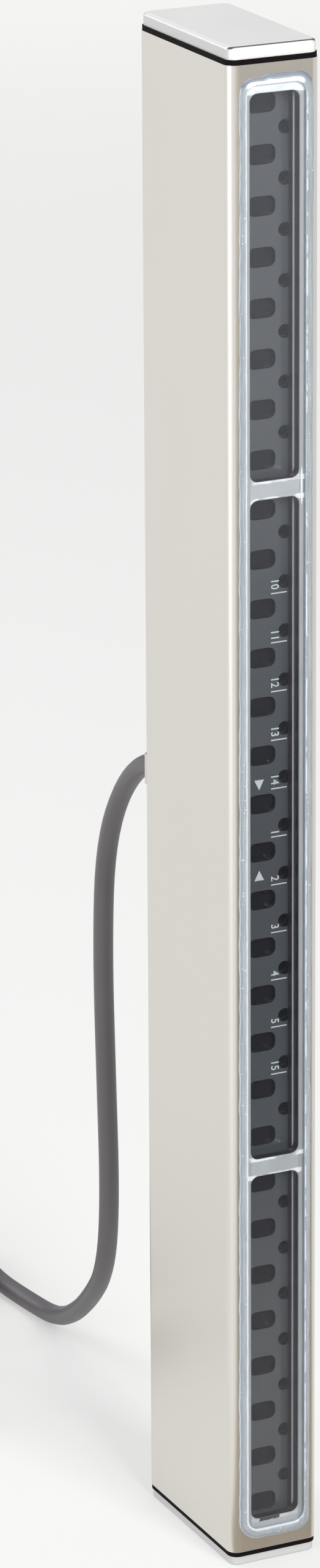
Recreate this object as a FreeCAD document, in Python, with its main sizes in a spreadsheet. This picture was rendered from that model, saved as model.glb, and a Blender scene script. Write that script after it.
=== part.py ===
import FreeCAD, Part
import math
import os
import Sketcher

# Safety light curtain: a stainless tube with three front windows, its optics, boards and cable.
# X is to the right seen from the front, the windows face -Y, Z is up, millimetres.
# The origin is at the middle of the foot.

SIZES = {
    # Stainless housing
    "housing_depth": 39.4,
    "housing_wall": 2.0,
    "housing_corner": 2.2,
    "inner_corner": 0.4,
    # Beams and windows
    "beam_spacing": 10.0,
    "upper_beams": 8,
    "middle_beams": 14,
    "lower_beams": 8,
    "web_height": 3.8,
    "window_width": 10.4,
    "window_corner": 1.6,
    "window_end": 1.7,
    "upper_window_end": 2.7,
    "end_margin": 6.8,
    "window_edge_round": 0.35,
    # Clear pane and its silicone bead
    "pane_proud": 1.0,
    "pane_lap": 1.1,
    "pane_end_lap": 1.9,
    "pane_corner": 2.4,
    "pane_edge_round": 0.3,
    "bead_side": 1.8,
    "bead_end": 2.0,
    "bead_height": 0.9,
    "bead_round": 0.75,
    "bead_corner": 3.4,
    "bond_thick": 0.1,
    "bond_margin": 0.4,
    # End plates and gaskets
    "gasket_thick": 1.0,
    "gasket_inset": 0.1,
    "bottom_plate_thick": 2.0,
    "top_plate_thick": 2.5,
    "plate_inset": 0.35,
    "plate_edge_round": 0.8,
    "foot_edge_round": 0.5,
    "block_thick": 5.0,
    "fixing_inset": 7.7,
    "stud_radius": 1.5,
    "stud_length": 4.5,
    "stud_clearance": 0.1,
    "screw_head_radius": 2.75,
    "screw_head_height": 1.6,
    "screw_key": 2.0,
    "screw_key_depth": 1.0,
    "port_screw_radius": 1.1,
    "port_screw_length": 12.0,
    # Carrier profile
    "side_gap": 0.2,
    "front_gap": 0.2,
    "rear_gap": 0.5,
    "profile_wall": 1.5,
    "lip_thick": 1.8,
    "lip_reach": 0.3,
    "port_wall": 0.8,
    "port_seat": 1.6,
    "board_thick": 1.6,
    "slot_depth": 0.7,
    "slot_gap": 0.1,
    "board_gap": 0.1,
    "board_spacing": 7.4,
    "wiring_space": 8.8,
    # Optics
    "module_width": 12.0,
    "module_gap": 0.1,
    "end_gap": 0.4,
    "plate_thick": 1.5,
    "large_aperture_width": 5.9,
    "large_aperture_height": 3.9,
    "large_aperture_corner": 1.5,
    "large_aperture_inset": 5.15,
    "small_aperture_radius": 1.4,
    "small_aperture_inset": 1.9,
    "lens_bar_width": 7.2,
    "lens_bar_thick": 1.2,
    "lens_bar_end": 2.9,
    "lens_radius": 2.6,
    "lens_height": 1.4,
    "funnel_front_radius": 2.85,
    "funnel_rear_radius": 1.3,
    "emitter_bore_radius": 1.2,
    "detector_size": 1.7,
    "detector_height": 1.1,
    "emitter_size": 1.5,
    "emitter_height": 1.0,
    "guide_radius": 0.5,
    "guide_inset": 0.75,
    "guide_drop": 2.2,
    "guide_gap": 0.1,
    "status_size": 0.8,
    "status_height": 0.7,
    "status_lamps": 11,
    # Parts on the main board
    "chip_size": 9.0,
    "chip_thick": 1.4,
    "chip_above": 39.5,
    "power_width": 8.4,
    "power_height": 16.0,
    "power_clearance": 2.2,
    "power_below": 56.5,
    "link_width": 5.0,
    "link_height": 14.0,
    "link_above": 71.5,
    "socket_width": 4.6,
    "socket_height": 6.0,
    "socket_thick": 3.2,
    "socket_below": 28.5,
    "plug_height": 5.0,
    "plug_thick": 2.8,
    "conductor_radius": 0.3,
    "conductor_step": 0.7,
    "conductor_bend": 2.5,
    # Cable entry in the rear wall
    "entry_thread_radius": 3.4,
    "entry_clearance": 0.1,
    "entry_inner_length": 4.4,
    "gland_hex": 11.0,
    "gland_hex_thick": 3.0,
    "gland_neck_radius": 4.2,
    "gland_neck_length": 4.7,
    "seal_seat_radius": 3.3,
    "seal_length": 4.0,
    "gland_nut_gap": 0.3,
    "gland_nut_length": 5.0,
    "gland_nose_length": 2.0,
    "gland_nose_radius": 3.4,
    "locknut_hex": 9.5,
    "locknut_thick": 2.0,
    "locknut_clearance": 0.3,
    "ring_section": 0.6,
    "ring_radius": 4.3,
    # Cable and its plug
    "cable_diameter": 4.2,
    "cable_clearance": 0.2,
    "coil_radius": 21.0,
    "coil_x": -16.9,
    "coil_y": 150.0,
    "plug_x": -36.8,
    "plug_y": 119.0,
    "boot_radius": 3.1,
    "boot_end_radius": 4.3,
    "boot_length": 12.0,
    "grip_radius": 6.4,
    "grip_length": 14.0,
    "grip_ramp": 2.5,
    "grip_edge": 0.6,
    "grip_flutes": 6,
    "flute_radius": 2.0,
    "flute_depth": 0.8,
    "flute_stop": 2.0,
    "plug_neck_radius": 4.0,
    "plug_neck_length": 10.0,
    "collar_radius": 4.5,
    "collar_thick": 1.2,
    "screw_clearance": 0.1,
    "knurl_radius": 7.4,
    "knurl_length": 8.6,
    "knurl_count": 18,
    "knurl_depth": 0.5,
    "knurl_chamfer": 0.5,
    "knurl_edge": 0.3,
    "thread_radius": 6.0,
    "thread_length": 9.0,
    "sleeve_radius": 4.8,
    "insert_radius": 3.3,
    "insert_head_radius": 4.2,
    "insert_head_thick": 1.4,
    "pin_radius": 0.4,
    "pin_circle": 2.75,
    "pin_count": 7,
    "pin_reach": 5.0,
}

# Route of the free cable, corner by corner, chosen by hand
LEAD_ROUTE = [
    (0.0, 18.2, 156.5),
    (0.0, 35.0, 156.5),
    (0.0, 49.5, 147.0),
    (0.0, 59.5, 130.0),
    (0.0, 61.4, 106.0),
    (0.0, 60.1, 77.0),
    (0.3, 59.4, 50.0),
    (2.0, 65.5, 31.0),
    (4.8, 80.0, 18.0),
    (7.3, 95.0, 8.0),
    (8.6, 107.0, 2.9),
    (7.9, 118.5, 2.1),
    (6.6, 130.0, 2.1),
    (6.9, 139.5, 2.1),
    (8.3, 150.0, 2.1),
]
TAIL_ROUTE = [
    (-40.0, 149.0, 5.7),
    (-40.0, 139.5, 6.4),
    (-36.8, 129.5, 7.4),
    (-36.8, 119.0, 7.4),
]

# Half the coil's section in cable widths: out from the middle turn, and up
COIL_SECTION = [(1.2, 0.0), (1.5, 0.3), (1.5, 0.75), (1.0, 1.85), (0.8, 2.0)]

doc = FreeCAD.newDocument("LightCurtain")
sheet = doc.addObject("Spreadsheet::Sheet", "Sizes")
for row, (alias, number) in enumerate(SIZES.items(), start=1):
    sheet.set(f"A{row}", alias)
    sheet.set(f"B{row}", str(number))
    sheet.setAlias(f"B{row}", alias)
doc.recompute()


class Size:
    """A number together with the spreadsheet expression that gives it."""

    def __init__(self, text, value):
        self.text = text
        self.value = float(value)

    def combine(self, sign, other, value, swap=False):
        first, second = as_size(self), as_size(other)
        if swap:
            first, second = second, first
        return Size(f"({first.text} {sign} {second.text})", value)

    def __add__(self, other):
        return self.combine("+", other, self.value + as_size(other).value)

    def __radd__(self, other):
        return self + other

    def __sub__(self, other):
        return self.combine("-", other, self.value - as_size(other).value)

    def __rsub__(self, other):
        return self.combine("-", other, as_size(other).value - self.value, swap=True)

    def __mul__(self, other):
        return self.combine("*", other, self.value * as_size(other).value)

    def __rmul__(self, other):
        return self * other

    def __truediv__(self, other):
        return self.combine("/", other, self.value / as_size(other).value)

    def __neg__(self):
        return 0 - self


def as_size(number):
    """Turn a plain number into a Size and leave a Size as it is."""
    if isinstance(number, Size):
        return number
    return Size(f"({number:.6g})", number)


def cell(alias):
    """The Size held by one named cell of the sheet."""
    return Size(f"Sizes.{alias}", sheet.get(alias))


class SheetSizes:
    """Every named cell of the sheet as an attribute."""

    def __getattr__(self, alias):
        return cell(alias)


def bind(thing, prop, size):
    """Bind one property or constraint to its expression."""
    thing.setExpression(prop, as_size(size).text)


def place(thing, x=0, y=0, z=0, rotation=None):
    """Give an object its Placement, with its base bound to the sheet."""
    if rotation is not None:
        thing.Placement = FreeCAD.Placement(FreeCAD.Vector(), rotation)
    bind(thing, "Placement.Base.x", x)
    bind(thing, "Placement.Base.y", y)
    bind(thing, "Placement.Base.z", z)


class Outline:
    """A sketch on one of its body's origin planes, each point pinned by expressions."""

    def __init__(self, body, name, plane, offset=(0, 0, 0)):
        self.sketch = body.newObject("Sketcher::SketchObject", name)
        self.sketch.AttachmentSupport = [(origin_feature(body, plane), "")]
        self.sketch.MapMode = "FlatFace"
        for axis, size in zip("xyz", offset):
            bind(self.sketch, f"AttachmentOffset.Base.{axis}", size)

    def constrain(self, kind, *arguments, size=None):
        """Add one constraint and bind its value."""
        if size is None:
            self.sketch.addConstraint(Sketcher.Constraint(kind, *arguments))
            return
        constraint = Sketcher.Constraint(kind, *arguments, as_size(size).value)
        index = self.sketch.addConstraint(constraint)
        bind(self.sketch, f"Constraints[{index}]", size)

    def pin(self, geometry, vertex, x, y):
        """Fix a point of the sketch at x, y."""
        self.constrain("DistanceX", -1, 1, geometry, vertex, size=x)
        self.constrain("DistanceY", -1, 1, geometry, vertex, size=y)

    def polygon(self, corners):
        """A closed outline of straight lines through the corners."""
        points = [sketch_point(x, y) for x, y in corners]
        lines = []
        for start, end in zip(points, points[1:] + points[:1]):
            lines.append(self.sketch.addGeometry(Part.LineSegment(start, end), False))
        for line, after in zip(lines, lines[1:] + lines[:1]):
            self.constrain("Coincident", line, 2, after, 1)
        for line, (x, y) in zip(lines, corners):
            self.pin(line, 1, x, y)
        return self

    def circle(self, x, y, radius):
        """A circle about x, y."""
        round_line = Part.Circle(sketch_point(x, y), FreeCAD.Vector(0, 0, 1), as_size(radius).value)
        index = self.sketch.addGeometry(round_line, False)
        self.pin(index, 3, x, y)
        self.constrain("Radius", index, size=radius)
        return self

    def hexagon(self, x, y, across):
        """A hexagon with the given distance across its flats."""
        corner = across / math.sqrt(3)
        steps = [math.radians(60 * step + 30) for step in range(6)]
        return self.polygon([(x + corner * math.cos(a), y + corner * math.sin(a)) for a in steps])

    def rounded(self, x, y, width, height, radius):
        """A rectangle about x, y with round corners, its arcs tangent to its sides."""
        half_x, half_y = width / 2 - radius, height / 2 - radius
        centres = [(x + half_x, y - half_y), (x + half_x, y + half_y)]
        centres += [(x - half_x, y + half_y), (x - half_x, y - half_y)]
        reach = as_size(radius).value
        arcs = []
        for quarter, (cx, cy) in enumerate(centres):
            start = math.radians(90 * quarter - 90)
            ring = Part.Circle(sketch_point(cx, cy), FreeCAD.Vector(0, 0, 1), reach)
            arc = Part.ArcOfCircle(ring, start, start + math.pi / 2)
            arcs.append(self.sketch.addGeometry(arc, False))
        for arc, after in zip(arcs, arcs[1:] + arcs[:1]):
            start = self.sketch.getPoint(arc, 2)
            end = self.sketch.getPoint(after, 1)
            side = self.sketch.addGeometry(Part.LineSegment(start, end), False)
            self.constrain("Tangent", arc, 2, side, 1)
            self.constrain("Tangent", side, 2, after, 1)
        for arc, (cx, cy) in zip(arcs, centres):
            self.pin(arc, 3, cx, cy)
            self.constrain("Radius", arc, size=radius)
        return self


def sketch_point(x, y):
    """A sketch vector from two sizes."""
    return FreeCAD.Vector(as_size(x).value, as_size(y).value, 0)


def origin_feature(body, role):
    """One of a body's own origin planes or axes."""
    return next(part for part in body.Origin.OriginFeatures if part.Role == role)


def new_body(label):
    """An empty body whose label names its file."""
    body = doc.addObject("PartDesign::Body", label)
    body.Label = label
    body.AllowCompound = True
    return body


def extrude(body, outline, length, kind="Pad", reverse=False):
    """Pad or pocket an outline by a length along its normal."""
    feature = body.newObject(f"PartDesign::{kind}", f"{body.Name}_{kind}")
    feature.Profile = outline.sketch
    feature.Reversed = reverse
    bind(feature, "Length", length)
    return feature


def turn(body, outline, axis, kind="Revolution"):
    """Revolve an outline a full turn about an axis of its sketch."""
    feature = body.newObject(f"PartDesign::{kind}", f"{body.Name}_{kind}")
    feature.Profile = outline.sketch
    feature.ReferenceAxis = (outline.sketch, [axis])
    feature.Angle = 360
    return feature


def repeat(body, feature, axis, length, count):
    """Copy a feature along an origin axis, first to last over the length."""
    pattern = body.newObject("PartDesign::LinearPattern", f"{body.Name}_Row")
    pattern.Originals = [feature]
    pattern.Direction = (origin_feature(body, axis), [""])
    bind(pattern, "Length", length)
    bind(pattern, "Occurrences", count)
    body.Tip = pattern
    return pattern


def repeat_round(body, feature, count):
    """Copy a feature round the body's own Z axis."""
    pattern = body.newObject("PartDesign::PolarPattern", f"{body.Name}_Ring")
    pattern.Originals = [feature]
    pattern.Axis = (origin_feature(body, "Z_Axis"), [""])
    pattern.Angle = 360
    bind(pattern, "Occurrences", count)
    body.Tip = pattern
    return pattern


def round_edges(body, feature, radius, wanted):
    """Fillet the edges of a feature that the test accepts."""
    doc.recompute()
    names = [f"Edge{n}" for n, edge in enumerate(feature.Shape.Edges, start=1) if wanted(edge)]
    fillet = body.newObject("PartDesign::Fillet", f"{body.Name}_Fillet")
    fillet.Base = (feature, names)
    bind(fillet, "Radius", radius)
    return fillet


def edge_at(axis, level):
    """A test for edges that lie flat at one level of an axis."""
    def wanted(edge):
        box = edge.BoundBox
        low, high = getattr(box, f"{axis}Min"), getattr(box, f"{axis}Max")
        return max(abs(low - level.value), abs(high - level.value)) < 0.01
    return wanted


def group(label, members):
    """One node made of several separate solids."""
    compound = doc.addObject("Part::Compound", label)
    compound.Label = label
    compound.Links = members
    return compound


def block(label, x, y, z, width, depth, height):
    """A box about x, from y towards the rear, centred on z."""
    box = doc.addObject("Part::Box", label)
    box.Label = label
    bind(box, "Length", width)
    bind(box, "Width", depth)
    bind(box, "Height", height)
    place(box, x - as_size(width) / 2, y, z - as_size(height) / 2)
    return box


dim = SheetSizes()
TOWARDS_REAR = FreeCAD.Rotation(FreeCAD.Vector(1, 0, 0), -90)
TOWARDS_FRONT = FreeCAD.Rotation(FreeCAD.Vector(1, 0, 0), 90)

# Levels that the pieces share
all_beams = dim.upper_beams + dim.middle_beams + dim.lower_beams
steel_bottom = dim.bottom_plate_thick + dim.gasket_thick
first_beam = steel_bottom + dim.end_margin + dim.window_end
last_beam = first_beam + (all_beams - 1) * dim.beam_spacing
steel_top = last_beam + dim.window_end + dim.end_margin
housing_length = steel_top - steel_bottom
middle = (steel_bottom + steel_top) / 2
front = (dim.pane_proud - dim.housing_depth) / 2
rear = front + dim.housing_depth
centre_y = front + dim.housing_depth / 2
fixing_offset = dim.housing_depth / 2 - dim.fixing_inset
half_module = dim.module_width / 2
half_inside = half_module + dim.module_gap
half_profile = half_inside + dim.profile_wall
housing_width = 2 * (half_profile + dim.side_gap + dim.housing_wall)
half_board = half_inside + dim.slot_depth - dim.board_gap
plate_depth = dim.housing_wall + dim.front_gap + dim.lip_thick
holder_depth = plate_depth + dim.plate_thick
profile_front = front + dim.housing_wall + dim.front_gap
profile_rear = rear - dim.housing_wall - dim.rear_gap
profile_bottom = steel_bottom + dim.block_thick
profile_length = housing_length - 2 * dim.block_thick
module_length = profile_length - 2 * dim.end_gap
main_board_depth = dim.housing_depth - dim.housing_wall - dim.wiring_space - dim.board_thick
optics_board_depth = main_board_depth - dim.board_spacing - dim.board_thick
large_aperture_x = dim.large_aperture_inset - half_module
small_aperture_x = half_module - dim.small_aperture_inset
guide_x = half_module - dim.guide_inset
port_x = half_inside - dim.port_seat
port_y = profile_rear - dim.profile_wall - dim.port_seat

# Each group of beams: its name, the number of its lowest beam and its count
BEAM_GROUPS = [
    ("lower", 0 * dim.lower_beams, dim.lower_beams),
    ("middle", dim.lower_beams, dim.middle_beams),
    ("upper", dim.lower_beams + dim.middle_beams, dim.upper_beams),
]


def beam_level(number):
    """Height of one beam, counted from the lowest."""
    return first_beam + number * dim.beam_spacing


def window_range(group):
    """Lowest and highest level of a group's window."""
    name, start, count = group
    half_web = dim.web_height / 2
    low = beam_level(start) - dim.beam_spacing / 2 + half_web
    high = beam_level(start + count) - dim.beam_spacing / 2 - half_web
    if name == "lower":
        low = first_beam - dim.window_end
    if name == "upper":
        high = last_beam + dim.upper_window_end
    return low, high


def facing(body, name, depth, x=0, z=0):
    """A sketch that faces the front, at a depth behind the steel front face."""
    return Outline(body, name, "XZ_Plane", (x, z, -(front + depth)))


def level(body, name, z=0, x=0, y=0):
    """A horizontal sketch at one height."""
    return Outline(body, name, "XY_Plane", (x, y, z))


def upright(body, name, depth, z, x=0):
    """A sketch in the plane of one column, its own X towards the rear and Y up."""
    return Outline(body, name, "YZ_Plane", (front + depth, z, x))


def make_housing():
    """The rectangular tube, its three windows, the webs between them and the cable's hole."""
    body = new_body("housing")
    section = level(body, "Section", steel_bottom)
    section.rounded(0, centre_y, housing_width, dim.housing_depth, dim.housing_corner)
    cavity_width = housing_width - 2 * dim.housing_wall
    cavity_depth = dim.housing_depth - 2 * dim.housing_wall
    section.rounded(0, centre_y, cavity_width, cavity_depth, dim.inner_corner)
    extrude(body, section, housing_length)
    windows = facing(body, "Windows", 0)
    for group in BEAM_GROUPS:
        low, high = window_range(group)
        windows.rounded(0, (low + high) / 2, dim.window_width, high - low, dim.window_corner)
    extrude(body, windows, dim.housing_wall, "Pocket")
    entry = facing(body, "CableEntry", dim.housing_depth - dim.housing_wall)
    entry.circle(0, middle, dim.entry_thread_radius + dim.entry_clearance)
    bored = extrude(body, entry, dim.housing_wall, "Pocket")
    at_front = edge_at("Y", front)
    reach = dim.window_width.value / 2 + 0.01

    def window_rim(edge):
        return at_front(edge) and max(abs(edge.BoundBox.XMin), abs(edge.BoundBox.XMax)) < reach

    round_edges(body, bored, dim.window_edge_round, window_rim)
    return body


def make_gasket(label, z):
    """A flat gasket with a hole for each fixing."""
    body = new_body(label)
    sheet_outline = level(body, "Outline", z)
    width = housing_width - 2 * dim.gasket_inset
    depth = dim.housing_depth - 2 * dim.gasket_inset
    corner = dim.housing_corner - dim.gasket_inset
    sheet_outline.rounded(0, centre_y, width, depth, corner)
    for side in (-1, 1):
        y = centre_y + side * fixing_offset
        sheet_outline.circle(0, y, dim.stud_radius + dim.stud_clearance)
    extrude(body, sheet_outline, dim.gasket_thick)
    return body


def plate_outline(body, z):
    """The end plates' outline, a little inside the tube's."""
    outline = level(body, "Outline", z)
    width = housing_width - 2 * dim.plate_inset
    depth = dim.housing_depth - 2 * dim.plate_inset
    return outline.rounded(0, centre_y, width, depth, dim.housing_corner - dim.plate_inset)


def make_top_plate():
    """The smooth top plate with two studs welded under it."""
    body = new_body("top_end_plate")
    underside = steel_top + dim.gasket_thick
    plate = extrude(body, plate_outline(body, underside), dim.top_plate_thick)
    top_edge = edge_at("Z", underside + dim.top_plate_thick)
    round_edges(body, plate, dim.plate_edge_round, top_edge)
    studs = level(body, "Studs", underside)
    for side in (-1, 1):
        studs.circle(0, centre_y + side * fixing_offset, dim.stud_radius)
    extrude(body, studs, dim.gasket_thick + dim.stud_length, reverse=True)
    return body


def make_bottom_plate():
    """The foot plate with two countersunk holes."""
    body = new_body("bottom_end_plate")
    plate = extrude(body, plate_outline(body, 0), dim.bottom_plate_thick)
    round_edges(body, plate, dim.foot_edge_round, edge_at("Z", as_size(0)))
    bore = dim.stud_radius + dim.stud_clearance
    for side in (-1, 1):
        y = centre_y + side * fixing_offset
        sink = Outline(body, "Countersink", "XZ_Plane", (0, 0, -y))
        head = dim.screw_head_radius + dim.stud_clearance
        corners = [(0, 0), (head, 0), (bore, dim.screw_head_height)]
        corners += [(bore, dim.bottom_plate_thick), (0, dim.bottom_plate_thick)]
        turn(body, sink.polygon(corners), "V_Axis", "Groove")
    return body


def make_screw(label, x, y, z, radius, length, up):
    """A countersunk screw with a hexagonal key hole, its head's face at z."""
    body = new_body(label)
    profile = Outline(body, "Profile", "XZ_Plane")
    head = dim.screw_head_radius * radius / dim.stud_radius
    sink = dim.screw_head_height * radius / dim.stud_radius
    corners = [(0, 0), (head, 0), (radius, sink), (radius, length), (0, length)]
    turn(body, profile.polygon(corners), "V_Axis")
    key = level(body, "Key").hexagon(0, 0, dim.screw_key * radius / dim.stud_radius)
    extrude(body, key, dim.screw_key_depth, "Pocket", reverse=True)
    flip = None if up else FreeCAD.Rotation(FreeCAD.Vector(1, 0, 0), 180)
    place(body, x, y, z, flip)
    return body


def make_bottom_plate_screws():
    """Two screws from below, through plate and gasket into the lower block."""
    screws = []
    for number, side in enumerate((-1, 1), start=1):
        y = centre_y + side * fixing_offset
        length = steel_bottom + dim.stud_length
        screws.append(make_screw(f"foot_screw_{number}", 0, y, 0, dim.stud_radius, length, True))
    return group("bottom_plate_screws", screws)


def make_end_block(label, z, outer, inner):
    """A block that closes the carrier, with holes for its plate's and its own screws."""
    body = new_body(label)
    depth = profile_rear - profile_front
    y = (profile_front + profile_rear) / 2
    outline = level(body, "Outline", z)
    outline.rounded(0, y, 2 * half_profile, depth, dim.inner_corner)
    for side in (-1, 1):
        outline.circle(0, centre_y + side * fixing_offset, dim.stud_radius)
    extrude(body, outline, dim.block_thick)
    head = dim.screw_head_radius * dim.port_screw_radius / dim.stud_radius
    sink = dim.screw_head_height * dim.port_screw_radius / dim.stud_radius
    corners = [(0, outer), (head, outer), (dim.port_screw_radius, outer + inner * sink)]
    corners += [(dim.port_screw_radius, outer + inner * dim.block_thick)]
    corners += [(0, outer + inner * dim.block_thick)]
    for side in (-1, 1):
        place_at = (side * port_x, 0, -port_y)
        sink_outline = Outline(body, "Countersink", "XZ_Plane", place_at)
        turn(body, sink_outline.polygon(corners), "V_Axis", "Groove")
    return body


def make_block_screws(label, z, up):
    """Two screws through an end block into the carrier's screw ports."""
    screws = []
    for number, side in enumerate((-1, 1), start=1):
        x = side * port_x
        radius, length = dim.port_screw_radius, dim.port_screw_length
        screws.append(make_screw(f"{label}_{number}", x, port_y, z, radius, length, up))
    return group(label, screws)


def make_carrier_profile():
    """The extruded carrier: a channel with front lips, board slots and screw ports."""
    body = new_body("carrier_profile")
    half_gap = dim.window_width / 2 - dim.lip_reach
    lip_back = profile_front + dim.lip_thick
    inner_rear = profile_rear - dim.profile_wall
    slot_reach = half_inside + dim.slot_depth
    right = [(half_gap, lip_back), (half_inside, lip_back)]
    for depth in (optics_board_depth, main_board_depth):
        slot_front = front + depth - dim.slot_gap
        slot_rear = front + depth + dim.board_thick + dim.slot_gap
        right += [(half_inside, slot_front), (slot_reach, slot_front)]
        right += [(slot_reach, slot_rear), (half_inside, slot_rear)]
    right += [(half_inside, inner_rear)]
    left = [(-x, y) for x, y in reversed(right)]
    outside = [(-half_gap, profile_front), (-half_profile, profile_front)]
    outside += [(-half_profile, profile_rear), (half_profile, profile_rear)]
    outside += [(half_profile, profile_front), (half_gap, profile_front)]
    section = level(body, "Section", profile_bottom).polygon(right + left + outside)
    extrude(body, section, profile_length)
    ports = level(body, "Ports", profile_bottom)
    bores = level(body, "PortBores", profile_bottom)
    for side in (-1, 1):
        ports.circle(side * port_x, port_y, dim.port_screw_radius + dim.port_wall)
        bores.circle(side * port_x, port_y, dim.port_screw_radius)
    extrude(body, ports, profile_length)
    extrude(body, bores, profile_length, "Pocket", reverse=True)
    hole_front = port_y - dim.port_screw_radius - 2 * dim.port_wall
    hole_depth = profile_rear - hole_front
    hole = Outline(body, "EntryHole", "XZ_Plane", (0, 0, -hole_front))
    hole.circle(0, middle, dim.locknut_hex / math.sqrt(3) + dim.locknut_clearance)
    extrude(body, hole, hole_depth, "Pocket")
    return body


def module_bar(label, depth, half_width, thick):
    """A long bar inside the carrier, from a depth behind the front towards the rear."""
    body = new_body(label)
    outline = facing(body, "Outline", depth)
    centre = profile_bottom + profile_length / 2
    corner = dim.inner_corner
    outline.rounded(0, centre, 2 * half_width, module_length, corner)
    extrude(body, outline, thick, reverse=True)
    return body


def make_aperture_plate():
    """The dark plate behind the windows, an opening for each beam and each emitter."""
    body = module_bar("aperture_plate", plate_depth, half_module, dim.plate_thick)
    large = facing(body, "LargeAperture", plate_depth)
    width, height = dim.large_aperture_width, dim.large_aperture_height
    corner = dim.large_aperture_corner
    large.rounded(large_aperture_x, first_beam, width, height, corner)
    hole = extrude(body, large, dim.plate_thick, "Pocket")
    repeat(body, hole, "Z_Axis", last_beam - first_beam, all_beams)
    for name, start, count in BEAM_GROUPS:
        small = facing(body, f"SmallAperture_{name}", plate_depth)
        centre = beam_level(start) + dim.beam_spacing / 2
        small.circle(small_aperture_x, centre, dim.small_aperture_radius)
        hole = extrude(body, small, dim.plate_thick, "Pocket")
        repeat(body, hole, "Z_Axis", (count - 2) * dim.beam_spacing, count - 1)
    return body


def make_lens_strip(group_of_beams):
    """One moulded strip with a domed lens for each beam of its window."""
    name, start, count = group_of_beams
    body = new_body(f"{name}_lens_strip")
    length = (count - 1) * dim.beam_spacing + 2 * dim.lens_bar_end
    centre = beam_level(start) + (count - 1) * dim.beam_spacing / 2
    bar = facing(body, "Bar", holder_depth)
    bar.rounded(large_aperture_x, centre, dim.lens_bar_width, length, dim.inner_corner)
    extrude(body, bar, dim.lens_bar_thick, reverse=True)
    back = holder_depth + dim.lens_bar_thick
    cap = upright(body, "Dome", back, beam_level(start), large_aperture_x)
    radius, height = dim.lens_radius, dim.lens_height
    ball = (radius * radius + height * height) / (2 * height)
    swing = math.asin(radius.value / ball.value)
    round_line = Part.Circle(sketch_point(height - ball, 0), FreeCAD.Vector(0, 0, 1), ball.value)
    curve = cap.sketch.addGeometry(Part.ArcOfCircle(round_line, 0, swing), False)
    rise = cap.sketch.addGeometry(Part.LineSegment(sketch_point(0, radius), sketch_point(0, 0)))
    axis = cap.sketch.addGeometry(Part.LineSegment(sketch_point(0, 0), sketch_point(height, 0)))
    cap.constrain("Coincident", curve, 2, rise, 1)
    cap.constrain("Coincident", rise, 2, axis, 1)
    cap.constrain("Coincident", axis, 2, curve, 1)
    cap.constrain("Vertical", rise)
    cap.constrain("Horizontal", axis)
    cap.pin(rise, 2, 0, 0)
    cap.pin(curve, 3, height - ball, 0)
    cap.constrain("Radius", curve, size=ball)
    dome = turn(body, cap, "H_Axis")
    repeat(body, dome, "Z_Axis", (count - 1) * dim.beam_spacing, count)
    return body


def lamp_level(number):
    """Height of one status lamp, counted downwards from the second pair of middle beams."""
    top = beam_level(dim.lower_beams + dim.middle_beams - 2)
    return top - dim.beam_spacing / 2 - dim.guide_drop - number * dim.beam_spacing


def make_optics_holder():
    """The moulded bar: a channel for the lens strips, a tapered way for each beam, small bores."""
    length = optics_board_depth - holder_depth
    body = module_bar("optics_holder", holder_depth, half_module, length)
    centre = profile_bottom + profile_length / 2
    recess = facing(body, "LensRecess", holder_depth)
    width = dim.lens_bar_width + 2 * dim.module_gap
    open_length = module_length + 2 * dim.inner_corner
    recess.rounded(large_aperture_x, centre, width, open_length, dim.inner_corner)
    extrude(body, recess, dim.lens_bar_thick, "Pocket")
    channel = upright(body, "Channel", holder_depth, first_beam, large_aperture_x)
    corners = [(0, 0), (0, dim.funnel_front_radius)]
    corners += [(length, dim.funnel_rear_radius), (length, 0)]
    cut = turn(body, channel.polygon(corners), "H_Axis", "Groove")
    repeat(body, cut, "Z_Axis", last_beam - first_beam, all_beams)
    for name, start, count in BEAM_GROUPS:
        bore = facing(body, f"EmitterBore_{name}", holder_depth)
        level_of_bore = beam_level(start) + dim.beam_spacing / 2
        bore.circle(small_aperture_x, level_of_bore, dim.emitter_bore_radius)
        cut = extrude(body, bore, length, "Pocket")
        repeat(body, cut, "Z_Axis", (count - 2) * dim.beam_spacing, count - 1)
    guide = facing(body, "GuideHole", holder_depth)
    lamps = dim.status_lamps
    guide.circle(guide_x, lamp_level(lamps - 1), dim.guide_radius + dim.guide_gap)
    cut = extrude(body, guide, length, "Pocket")
    repeat(body, cut, "Z_Axis", (lamps - 1) * dim.beam_spacing, lamps)
    return body


def make_board(label, depth):
    """A long circuit board held in the carrier's slots."""
    return module_bar(label, depth, half_board, dim.board_thick)


def make_detectors():
    """One photodiode on the optics board behind each large aperture."""
    chips = []
    y = front + optics_board_depth - dim.detector_height
    side = dim.detector_size
    for number in range(round(all_beams.value)):
        z = beam_level(number)
        name = f"photodiode_{number + 1}"
        chips.append(block(name, large_aperture_x, y, z, side, dim.detector_height, side))
    return group("photodiodes", chips)


def make_emitters():
    """One emitter on the optics board behind each small aperture."""
    chips = []
    y = front + optics_board_depth - dim.emitter_height
    side = dim.emitter_size
    for name, start, count in BEAM_GROUPS:
        for number in range(round(count.value) - 1):
            z = beam_level(start + number) + dim.beam_spacing / 2
            label = f"emitter_{name}_{number + 1}"
            chips.append(block(label, small_aperture_x, y, z, side, dim.emitter_height, side))
    return group("emitter_leds", chips)


def make_status_lamps():
    """The small status lamps on the optics board."""
    chips = []
    y = front + optics_board_depth - dim.status_height
    side = dim.status_size
    for number in range(round(dim.status_lamps.value)):
        z = lamp_level(number)
        name = f"status_led_{number + 1}"
        chips.append(block(name, guide_x, y, z, side, dim.status_height, side))
    return group("status_leds", chips)


def make_light_guides():
    """A clear rod from each status lamp to the back of the aperture plate."""
    rods = []
    length = optics_board_depth - dim.status_height - holder_depth
    for number in range(round(dim.status_lamps.value)):
        rod = doc.addObject("Part::Cylinder", f"light_guide_{number + 1}")
        bind(rod, "Radius", dim.guide_radius)
        bind(rod, "Height", length)
        place(rod, guide_x, front + holder_depth, lamp_level(number), TOWARDS_REAR)
        rods.append(rod)
    return group("status_light_guides", rods)


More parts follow.
